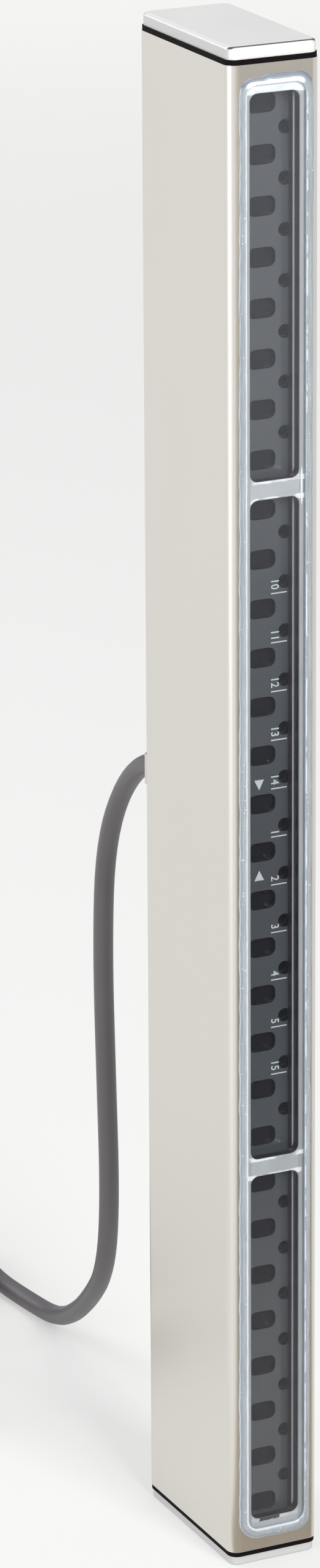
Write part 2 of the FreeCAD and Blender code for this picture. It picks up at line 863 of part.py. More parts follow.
def make_board_parts():
    """The parts that the main board carries, and the link between the boards."""
    board_front = front + main_board_depth
    board_rear = board_front + dim.board_thick
    chip = dim.chip_size
    power = dim.board_spacing - dim.power_clearance
    link_start = front + optics_board_depth + dim.board_thick
    socket_z = middle - dim.socket_below
    plug_z = socket_z + (dim.socket_height + dim.plug_height) / 2
    return [
        block("processor_chip", 0, board_front - dim.chip_thick, middle + dim.chip_above,
              chip, dim.chip_thick, chip),
        block("power_module", 0, board_front - power, middle - dim.power_below,
              dim.power_width, power, dim.power_height),
        block("board_link", 0, link_start, middle + dim.link_above,
              dim.link_width, dim.board_spacing, dim.link_height),
        block("cable_socket", 0, board_rear, socket_z,
              dim.socket_width, dim.socket_thick, dim.socket_height),
        block("cable_plug", 0, board_rear + (dim.socket_thick - dim.plug_thick) / 2, plug_z,
              dim.socket_width, dim.plug_thick, dim.plug_height),
    ]


def rounded_wire(points, radii):
    """Straight runs through the points, joined by a tangent arc at each inner corner."""
    edges = []
    start = points[0]
    for before, corner, after, radius in zip(points, points[1:], points[2:], radii):
        back = (before - corner).normalize()
        ahead = (after - corner).normalize()
        half_turn = (math.pi - back.getAngle(ahead)) / 2
        reach = radius * math.tan(half_turn)
        entry, leave = corner + back * reach, corner + ahead * reach
        centre = corner + (back + ahead).normalize() * (radius / math.cos(half_turn))
        top = centre + (corner - centre).normalize() * radius
        edges.append(Part.LineSegment(start, entry).toShape())
        edges.append(Part.Arc(entry, top, leave).toShape())
        start = leave
    edges.append(Part.LineSegment(start, points[-1]).toShape())
    return Part.Wire(edges)


def sweep(label, wire, radius):
    """A round tube along a wire."""
    path = doc.addObject("Part::Feature", f"{label}_path")
    path.Shape = wire
    ring = doc.addObject("Part::Circle", f"{label}_ring")
    bind(ring, "Radius", radius)
    start = wire.OrderedVertexes[0].Point
    heading = wire.OrderedEdges[0].tangentAt(wire.OrderedEdges[0].FirstParameter)
    turned = FreeCAD.Rotation(FreeCAD.Vector(0, 0, 1), heading)
    ring.Placement = FreeCAD.Placement(start, turned)
    tube = doc.addObject("Part::Sweep", label)
    tube.Label = label
    tube.Sections = [ring]
    tube.Spine = (path, [f"Edge{n + 1}" for n in range(len(wire.Edges))])
    tube.Solid = True
    tube.Frenet = False
    return tube


def make_cord(label, route):
    """A cord's tube: each arc is as large as its two runs allow."""
    points = [FreeCAD.Vector(*point) for point in route]
    runs = [(b - a).Length for a, b in zip(points, points[1:])]
    radii = []
    for number, corner in enumerate(points[1:-1]):
        turned = (corner - points[number]).getAngle(points[number + 2] - corner)
        radii.append(0.45 * min(runs[number], runs[number + 1]) / math.tan(turned / 2))
    print(label, "runs", [round(run, 1) for run in runs])
    print(label, "bend radii", [round(radius, 1) for radius in radii])
    wire = rounded_wire(points, radii)
    tube = sweep(label, wire, dim.cable_diameter / 2)
    doc.recompute()
    expected = math.pi * (dim.cable_diameter.value / 2) ** 2 * wire.Length
    print(label, "length", round(wire.Length, 1), "volume share", tube.Shape.Volume / expected)
    return tube


def make_inner_leads():
    """The cable's conductors from the wall to their plug on the main board."""
    leads = []
    start_y = rear - dim.housing_wall
    plug_top = middle - dim.socket_below + dim.socket_height / 2 + dim.plug_height
    drop_y = front + main_board_depth + dim.board_thick + dim.socket_thick / 2
    places = [(side, row) for side in (-1.5, -0.5, 0.5, 1.5) for row in (-0.5, 0.5)]
    for number, (side, row) in enumerate(places, start=1):
        x = (side * dim.conductor_step).value
        lift = row * dim.conductor_step
        y, z = (drop_y - lift).value, (middle + lift).value
        points = [(x, start_y.value, z), (x, y, z), (x, y, plug_top.value)]
        points = [FreeCAD.Vector(*point) for point in points]
        wire = rounded_wire(points, [dim.conductor_bend.value])
        leads.append(sweep(f"conductor_{number}", wire, dim.conductor_radius))
    return group("inner_leads", leads)


def place_on_rear(thing):
    """Turn a piece so that its own Z runs out of the rear wall at the cable's hole."""
    place(thing, 0, rear, middle, TOWARDS_REAR)
    return thing


def make_gland():
    """The cable entry: body, cap nut, seal, wall ring and lock nut."""
    cable_bore = dim.cable_diameter / 2 + dim.cable_clearance
    thread, neck = dim.entry_thread_radius, dim.gland_neck_radius
    inner_end = -(dim.housing_wall + dim.entry_inner_length)
    neck_end = dim.gland_hex_thick + dim.gland_neck_length
    seat = neck_end - dim.seal_length - dim.gland_nut_gap

    body = new_body("gland_body")
    profile = Outline(body, "Profile", "XZ_Plane")
    corners = [(cable_bore, inner_end), (thread, inner_end), (thread, 0), (neck, 0)]
    corners += [(neck, neck_end), (dim.seal_seat_radius, neck_end)]
    corners += [(dim.seal_seat_radius, seat), (cable_bore, seat)]
    turn(body, profile.polygon(corners), "V_Axis")
    flats = level(body, "Flats").hexagon(0, 0, dim.gland_hex).circle(0, 0, thread)
    extrude(body, flats, dim.gland_hex_thick)
    groove = Outline(body, "RingGroove", "XZ_Plane")
    inside, outside = dim.ring_radius - dim.ring_section, dim.ring_radius + dim.ring_section
    depth = 2 * dim.ring_section - dim.entry_clearance
    corners = [(inside, 0), (outside, 0), (outside, depth), (inside, depth)]
    turn(body, groove.polygon(corners), "V_Axis", "Groove")

    nut = new_body("gland_nut")
    nut_start = dim.gland_hex_thick + dim.gland_nut_gap
    nut_end = nut_start + dim.gland_nut_length
    flats = level(nut, "Flats", nut_start).hexagon(0, 0, dim.gland_hex).circle(0, 0, cable_bore)
    extrude(nut, flats, dim.gland_nut_length)
    nose = Outline(nut, "Nose", "XZ_Plane")
    nose_end = nut_end + dim.gland_nose_length
    corners = [(cable_bore, nut_end), (dim.gland_hex / 2, nut_end)]
    corners += [(dim.gland_nose_radius, nose_end), (cable_bore, nose_end)]
    turn(nut, nose.polygon(corners), "V_Axis")
    thread_hole = level(nut, "Thread", nut_start).circle(0, 0, neck)
    extrude(nut, thread_hole, neck_end - nut_start, "Pocket", reverse=True)

    seal = new_body("gland_seal")
    ring = Outline(seal, "Section", "XZ_Plane")
    cable = dim.cable_diameter / 2
    seal_end = seat + dim.seal_length
    corners = [(cable, seat), (dim.seal_seat_radius, seat)]
    corners += [(dim.seal_seat_radius, seal_end), (cable, seal_end)]
    turn(seal, ring.polygon(corners), "V_Axis")

    locknut = new_body("gland_locknut")
    start = -(dim.housing_wall + dim.locknut_thick)
    flats = level(locknut, "Flats", start).hexagon(0, 0, dim.locknut_hex).circle(0, 0, thread)
    extrude(locknut, flats, dim.locknut_thick)

    o_ring = doc.addObject("Part::Torus", "gland_o_ring")
    bind(o_ring, "Radius1", dim.ring_radius)
    bind(o_ring, "Radius2", dim.ring_section - dim.entry_clearance / 2)
    pieces = [place_on_rear(piece) for piece in (body, nut, seal, locknut)]
    lift = dim.ring_section - dim.entry_clearance / 2
    place(o_ring, 0, rear + lift, middle, TOWARDS_REAR)
    return pieces + [o_ring]


def make_pane():
    """The clear pane bonded over all three windows."""
    body = new_body("front_pane")
    low, high = window_range(BEAM_GROUPS[0])[0], window_range(BEAM_GROUPS[-1])[1]
    width = dim.window_width + 2 * dim.pane_lap
    height = high - low + 2 * dim.pane_end_lap
    outline = facing(body, "Outline", -dim.bond_thick)
    outline.rounded(0, (low + high) / 2, width, height, dim.pane_corner)
    pane = extrude(body, outline, dim.pane_proud - dim.bond_thick)
    round_edges(body, pane, dim.pane_edge_round, edge_at("Y", front - dim.pane_proud))
    return body


def make_bead():
    """The silicone: a bead round the pane, and the thin bond that the pane lies on."""
    body = new_body("pane_seal")
    low, high = window_range(BEAM_GROUPS[0])[0], window_range(BEAM_GROUPS[-1])[1]
    width = dim.window_width + 2 * dim.pane_lap
    height = high - low + 2 * dim.pane_end_lap
    outer_width, outer_height = width + 2 * dim.bead_side, height + 2 * dim.bead_end
    bond = facing(body, "Bond", 0)
    bond.rounded(0, (low + high) / 2, outer_width, outer_height, dim.bead_corner)
    for group in BEAM_GROUPS:
        start, end = window_range(group)
        open_width = dim.window_width + 2 * dim.bond_margin
        open_height = end - start + 2 * dim.bond_margin
        corner = dim.window_corner + dim.bond_margin
        bond.rounded(0, (start + end) / 2, open_width, open_height, corner)
    extrude(body, bond, dim.bond_thick)
    outline = facing(body, "Outline", -dim.bond_thick)
    outline.rounded(0, (low + high) / 2, outer_width, outer_height, dim.bead_corner)
    outline.rounded(0, (low + high) / 2, width, height, dim.pane_corner)
    ring = extrude(body, outline, dim.bead_height - dim.bond_thick)
    at_top = edge_at("Y", front - dim.bead_height)
    reach = (width.value + 0.1) / 2
    tall = (height.value + 0.1) / 2
    centre = (low + high).value / 2

    def outer_rim(edge):
        box = edge.BoundBox
        wide = max(abs(box.XMin), abs(box.XMax)) > reach
        high_up = max(abs(box.ZMin - centre), abs(box.ZMax - centre)) > tall
        return at_top(edge) and (wide or high_up)

    round_edges(body, ring, dim.bead_round, outer_rim)
    return body


def make_coil():
    """The outer shape of the coiled cable, three turns below and two above."""
    body = new_body("cable_coil")
    profile = Outline(body, "Section", "XZ_Plane")
    turns, width = dim.coil_radius, dim.cable_diameter
    corners = [(turns + out * width, up * width) for out, up in COIL_SECTION]
    corners += [(turns - out * width, up * width) for out, up in reversed(COIL_SECTION)]
    turn(body, profile.polygon(corners), "V_Axis")
    place(body, dim.coil_x, dim.coil_y, 0)
    return body


def place_on_plug(thing):
    """Lay a piece of the cable's plug on the ground, its own Z towards the front."""
    place(thing, dim.plug_x, dim.plug_y, dim.knurl_radius, TOWARDS_FRONT)
    return thing


def make_plug():
    """The cable's plug: moulded body, turning coupling screw, insert and contact pins."""
    grip_start = dim.boot_length
    grip_end = grip_start + dim.grip_length
    neck_end = grip_end + dim.plug_neck_length
    collar_end = neck_end + dim.collar_thick
    neck, collar = dim.plug_neck_radius, dim.collar_radius
    insert_start = neck_end - dim.plug_neck_length / 2
    insert_end = collar_end + dim.insert_head_thick

    body = new_body("connector_body")
    profile = Outline(body, "Profile", "XZ_Plane")
    grip = dim.grip_radius
    corners = [(0, 0), (dim.boot_radius, 0), (dim.boot_end_radius, grip_start)]
    corners += [(grip, grip_start + dim.grip_ramp), (grip, grip_end - dim.grip_edge)]
    corners += [(grip - dim.grip_edge, grip_end), (neck, grip_end)]
    corners += [(neck, neck_end), (collar, neck_end), (collar, collar_end)]
    corners += [(dim.insert_radius, collar_end), (dim.insert_radius, insert_start)]
    corners += [(0, insert_start)]
    turn(body, profile.polygon(corners), "V_Axis")
    flute_middle = grip + dim.flute_radius - dim.flute_depth
    flute = level(body, "Flute", grip_start).circle(flute_middle, 0, dim.flute_radius)
    cut = extrude(body, flute, dim.grip_length - dim.flute_stop, "Pocket", reverse=True)
    repeat_round(body, cut, dim.grip_flutes)

    screw = new_body("coupling_screw")
    start = grip_end + 2 * dim.screw_clearance
    knurl_end = start + dim.knurl_length
    step = neck_end - dim.screw_clearance
    bore = neck + dim.screw_clearance
    end = knurl_end + dim.thread_length
    profile = Outline(screw, "Profile", "XZ_Plane")
    knurl, chamfer = dim.knurl_radius, dim.knurl_chamfer
    corners = [(bore, start), (knurl - chamfer, start), (knurl, start + chamfer)]
    corners += [(knurl, knurl_end - chamfer), (knurl - chamfer, knurl_end)]
    corners += [(dim.thread_radius, knurl_end), (dim.thread_radius, end)]
    corners += [(dim.sleeve_radius, end), (dim.sleeve_radius, step), (bore, step)]
    turn(screw, profile.polygon(corners), "V_Axis")
    notch = level(screw, "Notch", start)
    half_notch = dim.knurl_depth + dim.knurl_edge
    floor, edge = knurl - dim.knurl_depth, knurl + dim.knurl_edge
    notch.polygon([(floor, 0), (edge, -half_notch), (edge, half_notch)])
    cut = extrude(screw, notch, dim.knurl_length - 2 * chamfer, "Pocket", reverse=True)
    repeat_round(screw, cut, dim.knurl_count)

    insert = new_body("pin_insert")
    profile = Outline(insert, "Profile", "XZ_Plane")
    corners = [(0, insert_start), (dim.insert_radius, insert_start)]
    corners += [(dim.insert_radius, collar_end), (dim.insert_head_radius, collar_end)]
    corners += [(dim.insert_head_radius, insert_end), (0, insert_end)]
    turn(insert, profile.polygon(corners), "V_Axis")
    centre_hole = level(insert, "CentreHole", insert_start).circle(0, 0, dim.pin_radius)
    extrude(insert, centre_hole, insert_end - insert_start, "Pocket", reverse=True)
    hole = level(insert, "Hole", insert_start).circle(dim.pin_circle, 0, dim.pin_radius)
    cut = extrude(insert, hole, insert_end - insert_start, "Pocket", reverse=True)
    repeat_round(insert, cut, dim.pin_count)

    pins = new_body("contact_pins")
    radius, tip = dim.pin_radius, insert_end + dim.pin_reach
    corners = [(0, insert_start), (radius, insert_start), (radius, tip - radius)]
    corners += [(radius / 2, tip), (0, tip)]
    middle_pin = Outline(pins, "MiddlePin", "XZ_Plane").polygon(corners)
    turn(pins, middle_pin, "V_Axis")
    outer_pin = Outline(pins, "OuterPin", "XZ_Plane", (dim.pin_circle, 0, 0)).polygon(corners)
    repeat_round(pins, turn(pins, outer_pin, "V_Axis"), dim.pin_count)
    return [place_on_plug(piece) for piece in (body, screw, insert, pins)]


nodes = [make_housing(), make_top_plate(), make_bottom_plate(), make_bottom_plate_screws()]
nodes += [make_gasket("top_gasket", steel_top), make_gasket("bottom_gasket", dim.bottom_plate_thick)]
nodes += [make_pane(), make_bead(), make_carrier_profile()]
nodes += [make_end_block("bottom_end_block", steel_bottom, steel_bottom, 1)]
nodes += [make_end_block("top_end_block", steel_top - dim.block_thick, steel_top, -1)]
nodes += [make_block_screws("bottom_block_screws", steel_bottom, True)]
nodes += [make_block_screws("top_block_screws", steel_top, False)]
nodes += [make_aperture_plate(), make_optics_holder()]
nodes += [make_lens_strip(beams) for beams in BEAM_GROUPS]
nodes += [make_board("optics_board", optics_board_depth)]
nodes += [make_board("main_board", main_board_depth)]
nodes += [make_detectors(), make_emitters(), make_status_lamps(), make_light_guides()]
nodes += make_board_parts()
nodes += [make_inner_leads()]
nodes += make_gland()
nodes += [make_cord("cable_lead", LEAD_ROUTE), make_cord("cable_tail", TAIL_ROUTE), make_coil()]
nodes += make_plug()
doc.recompute()

for part in doc.Objects:
    if "Invalid" in part.State or "Error" in part.State:
        raise RuntimeError(f"{part.Label} failed: {part.State}")
for node in nodes:
    if node.Shape.isNull() or not node.Shape.isValid():
        raise RuntimeError(f"{node.Label} has no valid shape")

os.makedirs("parts", exist_ok=True)
for node in nodes:
    node.Shape.exportStep(f"parts/{node.Label}.step")
    print(node.Label, len(node.Shape.Solids), "solids", round(node.Shape.Volume, 1), "mm3")
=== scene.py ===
"""Scene of a safety light curtain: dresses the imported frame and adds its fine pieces.

Everything is in metres, in the frame of the solids: X is to the right seen from the front, the
windows face -Y, and Z goes up from the foot.
"""

import logging
import math
from collections.abc import Sequence
from dataclasses import dataclass
from enum import Enum
from typing import ClassVar, Union

import bpy
import numpy as np
from bpy.types import ID, Material, Mesh, Node, NodeSocket, Object
from mathutils import Matrix, Vector


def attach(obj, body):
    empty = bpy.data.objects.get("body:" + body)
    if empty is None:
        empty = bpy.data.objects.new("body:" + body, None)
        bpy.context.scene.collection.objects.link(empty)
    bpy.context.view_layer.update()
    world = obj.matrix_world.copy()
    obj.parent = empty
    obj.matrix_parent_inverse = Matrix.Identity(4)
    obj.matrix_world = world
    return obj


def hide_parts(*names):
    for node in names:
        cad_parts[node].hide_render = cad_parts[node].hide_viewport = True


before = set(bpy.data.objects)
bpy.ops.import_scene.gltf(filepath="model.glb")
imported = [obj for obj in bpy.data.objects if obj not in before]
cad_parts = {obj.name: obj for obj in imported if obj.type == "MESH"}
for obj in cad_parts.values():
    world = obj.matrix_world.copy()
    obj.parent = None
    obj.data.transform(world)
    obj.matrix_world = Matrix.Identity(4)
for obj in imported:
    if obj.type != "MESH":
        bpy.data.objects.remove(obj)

MM = 0.001
CURTAIN = "curtain"
PLUG_SCREW = "plug_screw"
Colour = tuple[float, float, float]
Point = tuple[float, float, float]
Sides = tuple[float, float, float, float]
BLACK = (0.0, 0.0, 0.0)
log = logging.getLogger("light_curtain")


# Shader maths ------------


class Field:
    """A number that varies over a surface. Python's operators on it add Math nodes."""

    def __init__(self, shader: "Shader", socket: NodeSocket) -> None:
        """Wraps an output socket of a shader's nodes."""
        self.shader = shader
        self.socket = socket

    def _math(self, operation: str, *numbers: "Number") -> "Field":
        """Adds one Math node on the numbers, in their order."""
        settings = {"operation": operation}
        made = self.shader.node("ShaderNodeMath", settings, dict(enumerate(numbers)))
        return Field(self.shader, made.outputs[0])

    def __add__(self, other: "Number") -> "Field":
        """Sum."""
        return self._math("ADD", self, other)

    __radd__ = __add__

    def __sub__(self, other: "Number") -> "Field":
        """Difference."""
        return self._math("SUBTRACT", self, other)

    def __rsub__(self, other: "Number") -> "Field":
        """Difference, with the number first."""
        return self._math("SUBTRACT", other, self)

    def __mul__(self, other: "Number") -> "Field":
        """Product."""
        return self._math("MULTIPLY", self, other)

    __rmul__ = __mul__

    def __truediv__(self, other: "Number") -> "Field":
        """Quotient."""
        return self._math("DIVIDE", self, other)

    def __rtruediv__(self, other: "Number") -> "Field":
        """Quotient, with the number first."""
        return self._math("DIVIDE", other, self)

    def __abs__(self) -> "Field":
        """Size without its sign."""
        return self._math("ABSOLUTE", self)

    def lesser(self, other: "Number") -> "Field":
        """The lesser of two numbers."""
        return self._math("MINIMUM", self, other)

    def greater(self, other: "Number") -> "Field":
        """The greater of two numbers."""
        return self._math("MAXIMUM", self, other)

    def rise(self, start: float, end: float) -> "Field":
        """Goes smoothly from 0 at start to 1 at end. Start may be the higher of the two.

        Args:
            start: the number at which the result leaves 0.
            end: the number at which the result reaches 1.

        Returns:
            The eased number, from 0 to 1.
        """
        low, high = min(start, end), max(start, end)
        settings = {"interpolation_type": "SMOOTHSTEP"}
        sockets = {0: self, 1: low, 2: high}
        made = self.shader.node("ShaderNodeMapRange", settings, sockets)
        eased = Field(self.shader, made.outputs[0])
        return eased if start < end else 1 - eased


Number = Union[Field, float, int]


class Shader:
    """One material in the making: its nodes, its coordinates and its surface."""

    def __init__(self, name: str) -> None:
        """Starts an empty material of that name."""
        self.material = bpy.data.materials.new(name)
        self.material.use_nodes = True
        self.tree = self.material.node_tree
        self.tree.nodes.clear()
        self.output = self.node("ShaderNodeOutputMaterial")
        self.coordinates = self.node("ShaderNodeTexCoord")

    def node(self, kind: str, settings: dict = None, sockets: dict = None) -> Node:
        """Adds a node.

        Args:
            kind: the node's type.
            settings: its own settings, which are set first.
            sockets: values or links for its inputs, by name or by number.

        Returns:
            The node.
        """
        made = self.tree.nodes.new(kind)
        for name, value in (settings or {}).items():
            setattr(made, name, value)
        for name, value in (sockets or {}).items():
            if isinstance(value, Field):
                value = value.socket
            if isinstance(value, NodeSocket):
                self.tree.links.new(value, made.inputs[name])
            elif made.inputs[name].type == "RGBA":
                made.inputs[name].default_value = (*value, 1.0)
            else:
                made.inputs[name].default_value = value
        return made

    def axes(self, output: str = "Object") -> tuple[Field, Field, Field]:
        """Three coordinates of the surface's points, or those of its UV map or its normals."""
        parts = self.node("ShaderNodeSeparateXYZ", None, {0: self.coordinates.outputs[output]})
        return tuple(Field(self, parts.outputs[i]) for i in range(3))

    def noise(self, size: float, detail: float = 2.0, stretch: Point = (1.0, 1.0, 1.0),
              output: str = "Object") -> Field:
        """Cloudy noise, from about 0.25 to 0.75.

        Args:
            size: the size of its patches, in metres.
            detail: how many finer layers lie on it.
            stretch: how many times longer the patches are along each axis.
            output: the coordinates that it follows.

        Returns:
            The noise.
        """
        scale = tuple(1 / s for s in stretch)
        sockets = {0: self.coordinates.outputs[output], 3: scale}
        mapped = self.node("ShaderNodeMapping", None, sockets)
        sockets = {"Vector": mapped.outputs[0], "Scale": 1 / size, "Detail": detail}
        return Field(self, self.node("ShaderNodeTexNoise", None, sockets).outputs[0])

    def cells(self, size: float) -> Field:
        """Distance to the nearest of scattered points, in parts of size."""
        sockets = {"Vector": self.coordinates.outputs["Object"], "Scale": 1 / size}
        return Field(self, self.node("ShaderNodeTexVoronoi", None, sockets).outputs[0])

    def mix(self, amount: Number, first: object, second: object) -> NodeSocket:
        """A colour that goes from first to second as the amount goes from 0 to 1."""
        settings = {"data_type": "RGBA"}
        made = self.node("ShaderNodeMix", settings, {0: amount, 6: first, 7: second})
        return made.outputs[2]

    def mottle(self, amount: Number, tone: Colour, spread: float) -> NodeSocket:
        """A tone that goes from darker to lighter by a spread as the amount goes from 0 to 1."""
        return self.mix(amount, tint(tone, 1 - spread), tint(tone, 1 + spread))

    def bump(self, height: Field, depth: float, strength: float) -> NodeSocket:
        """A normal that follows a height from 0 to 1 over a depth in metres."""
        sockets = {"Strength": strength, "Distance": depth, "Height": height}
        return self.node("ShaderNodeBump", None, sockets).outputs[0]

    def principled(self, sockets: dict) -> Node:
        """A Principled surface with these sockets."""
        return self.node("ShaderNodeBsdfPrincipled", None, sockets)

    def blend(self, share: Number, first: Node, second: Node) -> Node:
        """A surface that goes from first to second as the share goes from 0 to 1."""
        sockets = {0: share, 1: first.outputs[0], 2: second.outputs[0]}
        return self.node("ShaderNodeMixShader", None, sockets)

    def finish(self, surface: Node) -> Material:
        """Puts the surface on the material's output and returns the material."""
        self.tree.links.new(surface.outputs[0], self.output.inputs[0])
        return self.material


def tint(colour: Colour, factor: float) -> Colour:
    """A colour made lighter or darker by a factor."""
    return tuple(c * factor for c in colour)


# Finishes ------------


class Axis(Enum):
    """The way that a grain runs."""

    X = (12.0, 1.0, 1.0)
    Y = (1.0, 12.0, 1.0)
    Z = (1.0, 1.0, 60.0)


@dataclass(frozen=True)
class Finish:
    """What one material is made by."""

    name: str

    def sockets(self, shader: Shader) -> dict:
        """The surface's sockets."""
        raise NotImplementedError

    def make(self) -> Material:
        """Makes the material."""
        shader = Shader(self.name)
        return shader.finish(shader.principled(self.sockets(shader)))


@dataclass(frozen=True)
class SatinSteel(Finish):
    """Stainless steel or another metal with a fine grain along one axis."""

    tone: Colour
    roughness: float = 0.36
    metallic: float = 1.0
    grain: Axis = Axis.Z
    grain_size: float = 0.12 * MM
    streak: float = 0.05
    smear: float = 0.06
    smear_size: float = 22 * MM

    def sockets(self, shader: Shader) -> dict:
        """The surface's sockets: grain in tone, roughness and bump, and faint smears."""
        grain = shader.noise(self.grain_size, 3.0, self.grain.value)
        smears = shader.noise(self.smear_size, 3.0, (1.0, 1.0, 2.5))
        shade = (grain - 0.5) * self.streak + (smears - 0.5) * self.smear + 0.5
        return {
            "Base Color": shader.mottle(shade, self.tone, 0.4),
            "Metallic": self.metallic,
            "Roughness": (smears - 0.5) * 0.12 + (grain - 0.5) * 0.1 + self.roughness,
            "Normal": shader.bump(grain, 0.004 * MM, 0.5),
        }


@dataclass(frozen=True)
class PlateSteel(SatinSteel):
    """A plate's steel, with painted shade on its two long sides and a painted shade line along its
    front edge.
    """

    shaded_side_share: float = 0.7
    shade_line_share: float = 0.12

    def sockets(self, shader: Shader) -> dict:
        """The surface's sockets. The painted shade line lies on the upper half of the edge's
        rounding.
        """
        sockets = super().sockets(shader)
        across, facing, upward = shader.axes("Normal")
        # painted shade: the long sides are darkened, and a dark line on the front edge's rounding
        # stands in for shade
        side = abs(across).rise(0.3, 0.85) * (1 - self.shaded_side_share)
        line = facing.rise(-0.2, -0.32) * facing.rise(-0.76, -0.64) * upward.rise(0.3, 0.5)
        dark = side.greater(line * (1 - self.shade_line_share))
        sockets["Base Color"] = shader.mix(dark, sockets["Base Color"], BLACK)
        return sockets


@dataclass(frozen=True)
class BondedSteel(SatinSteel):
    """The housing's steel, with the clear bond that the pane lies in on its front."""

    bond_tone: Colour = (0.61, 0.615, 0.605)
    lap_share: float = 0.83
    streak_and_highlight_tone: Colour = (0.98, 0.985, 0.97)
    jamb_shade_and_gap_tone: Colour = (0.06, 0.05, 0.05)
    bond_half_width: float = 6.3 * MM
    bond_bottom: float = 7.9 * MM
    bond_top: float = 306.1 * MM
    window_half_width: float = 5.25 * MM
    window_top: float = 304.1 * MM
    window_bottom: float = 9.9 * MM
    front: float = -19.1 * MM
    wall_back: float = -17.1 * MM
    web_edges: tuple[float, ...] = (84.6 * MM, 88.4 * MM, 224.6 * MM, 228.4 * MM)
    highlight_stroke: tuple[float, float] = (5.75 * MM, 226.5 * MM)
    patch_edges: tuple[float, float] = (-3.3 * MM, 0.7 * MM)
    painted_glow: float = 0.2

    def sockets(self, shader: Shader) -> dict:
        """The surface's sockets: the bond is paler, with white streaks where it came out, made
        brighter by a painted highlight and a painted glow.

        The streaks are at the webs' edges and over the top window, and beside the upper web stands
        a painted highlight stroke. Under the bottom window the bond has run back in its middle and
        left pale patches. The jambs are darkened as painted shade.
        """
        sockets = super().sockets(shader)
        x, y, z = shader.axes()
        aside = abs(x)
        soft = 0.1 * MM
        bonded = y.rise(self.front + soft, self.front)
        bonded = bonded * aside.rise(self.bond_half_width + soft, self.bond_half_width)
        bonded = bonded * z.rise(self.bond_bottom - soft, self.bond_bottom)
        bonded = bonded * z.rise(self.bond_top + soft, self.bond_top)
        ragged = (shader.noise(1.3 * MM, 3.0) - 0.5) * (0.5 * MM)
        cloud = shader.noise(4 * MM, 3.0, (1.0, 1.0, 3.0))
        beside = aside.rise(self.window_half_width - soft, self.window_half_width)
        web = shader.mottle(cloud, self.bond_tone, 0.18)
        lap = shader.mottle(cloud, tint(self.bond_tone, self.lap_share), 0.18)
        tone = shader.mix(bonded, sockets["Base Color"], shader.mix(beside, web, lap))

        # white streaks: squeezed-out bond at the webs' edges, over the top window and under the
        # bottom one, made brighter as a painted highlight
        nearest = abs(z - self.web_edges[0])
        for edge in self.web_edges[1:]:
            nearest = nearest.lesser(abs(z - edge))
        edges = (nearest + ragged).rise(0.62 * MM, 0.36 * MM)
        edges = edges * shader.noise(3.5 * MM).rise(0.4, 0.56) * 0.9
        crown = (z + ragged * 1.5).rise(self.window_top - 2 * soft, self.window_top + 2 * soft)
        streaks = shader.noise(1.6 * MM, 4.0, (4.0, 1.0, 1.0)).rise(0.36, 0.5)
        # painted highlight: a vertical bright stroke beside the upper web
        highlight_stroke = abs(x + ragged * 0.4 - self.highlight_stroke[0]).rise(0.26 * MM, 0.1 * MM)
        highlight_stroke = highlight_stroke * abs(z - self.highlight_stroke[1]).rise(4.2 * MM, 2.6 * MM) * 0.85
        low = (z + ragged).rise(self.window_bottom - 0.9 * MM, self.window_bottom - 0.7 * MM)
        low = low * z.rise(self.window_bottom + MM, self.window_bottom) * (1 - beside)
        wavy = x + ragged * 3
        patch = wavy.rise(self.patch_edges[0], self.patch_edges[0] - 3 * soft)
        patch = patch.greater(wavy.rise(self.patch_edges[1], self.patch_edges[1] + 3 * soft))
        line = edges.greater(crown * (streaks * 0.3 + 0.7)).greater(highlight_stroke)
        line = line.greater(low * patch * cloud * 0.6) * bonded
        tone = shader.mix(line, tone, self.streak_and_highlight_tone)

        # painted shade: the window's jambs inside the tube are darkened; the same dark tone fills
        # the gaps where the bond ran back
        jamb = y.rise(self.front, self.front + 3 * soft)
        jamb = jamb * y.rise(self.wall_back + 3 * soft, self.wall_back)
        jamb = jamb * aside.rise(self.window_half_width + 4 * soft, self.window_half_width)
        hollow = low * (1 - patch) * bonded
        sockets["Base Color"] = shader.mix(jamb.greater(hollow), tone, self.jamb_shade_and_gap_tone)
        sockets["Metallic"] = 1 - bonded
        # painted glow: the white streaks and the highlight stroke give off light though they are no
        # lamp
        sockets["Emission Color"] = shader.mix(line, BLACK, self.streak_and_highlight_tone)
        sockets["Emission Strength"] = self.painted_glow
        return sockets


@dataclass(frozen=True)
class CarrierMetal(SatinSteel):
    """Dark anodised aluminium, with a painted highlight on its front edges."""

    lit_edge_tone: Colour = (0.90, 0.89, 0.91)
    lit_edge_front: float = -16.9 * MM
    lit_edge_start: float = 4.85 * MM
    soft: float = 0.05 * MM

    def sockets(self, shader: Shader) -> dict:
        """The surface's sockets."""
        sockets = super().sockets(shader)
        x, y, _ = shader.axes()
        # painted highlight: the front edges are painted light, as if catching the light
        lit_edge = y.rise(self.lit_edge_front + self.soft, self.lit_edge_front)
        lit_edge = lit_edge * abs(x).rise(self.lit_edge_start, self.lit_edge_start + self.soft)
        sockets["Base Color"] = shader.mix(lit_edge, sockets["Base Color"], self.lit_edge_tone)
        return sockets


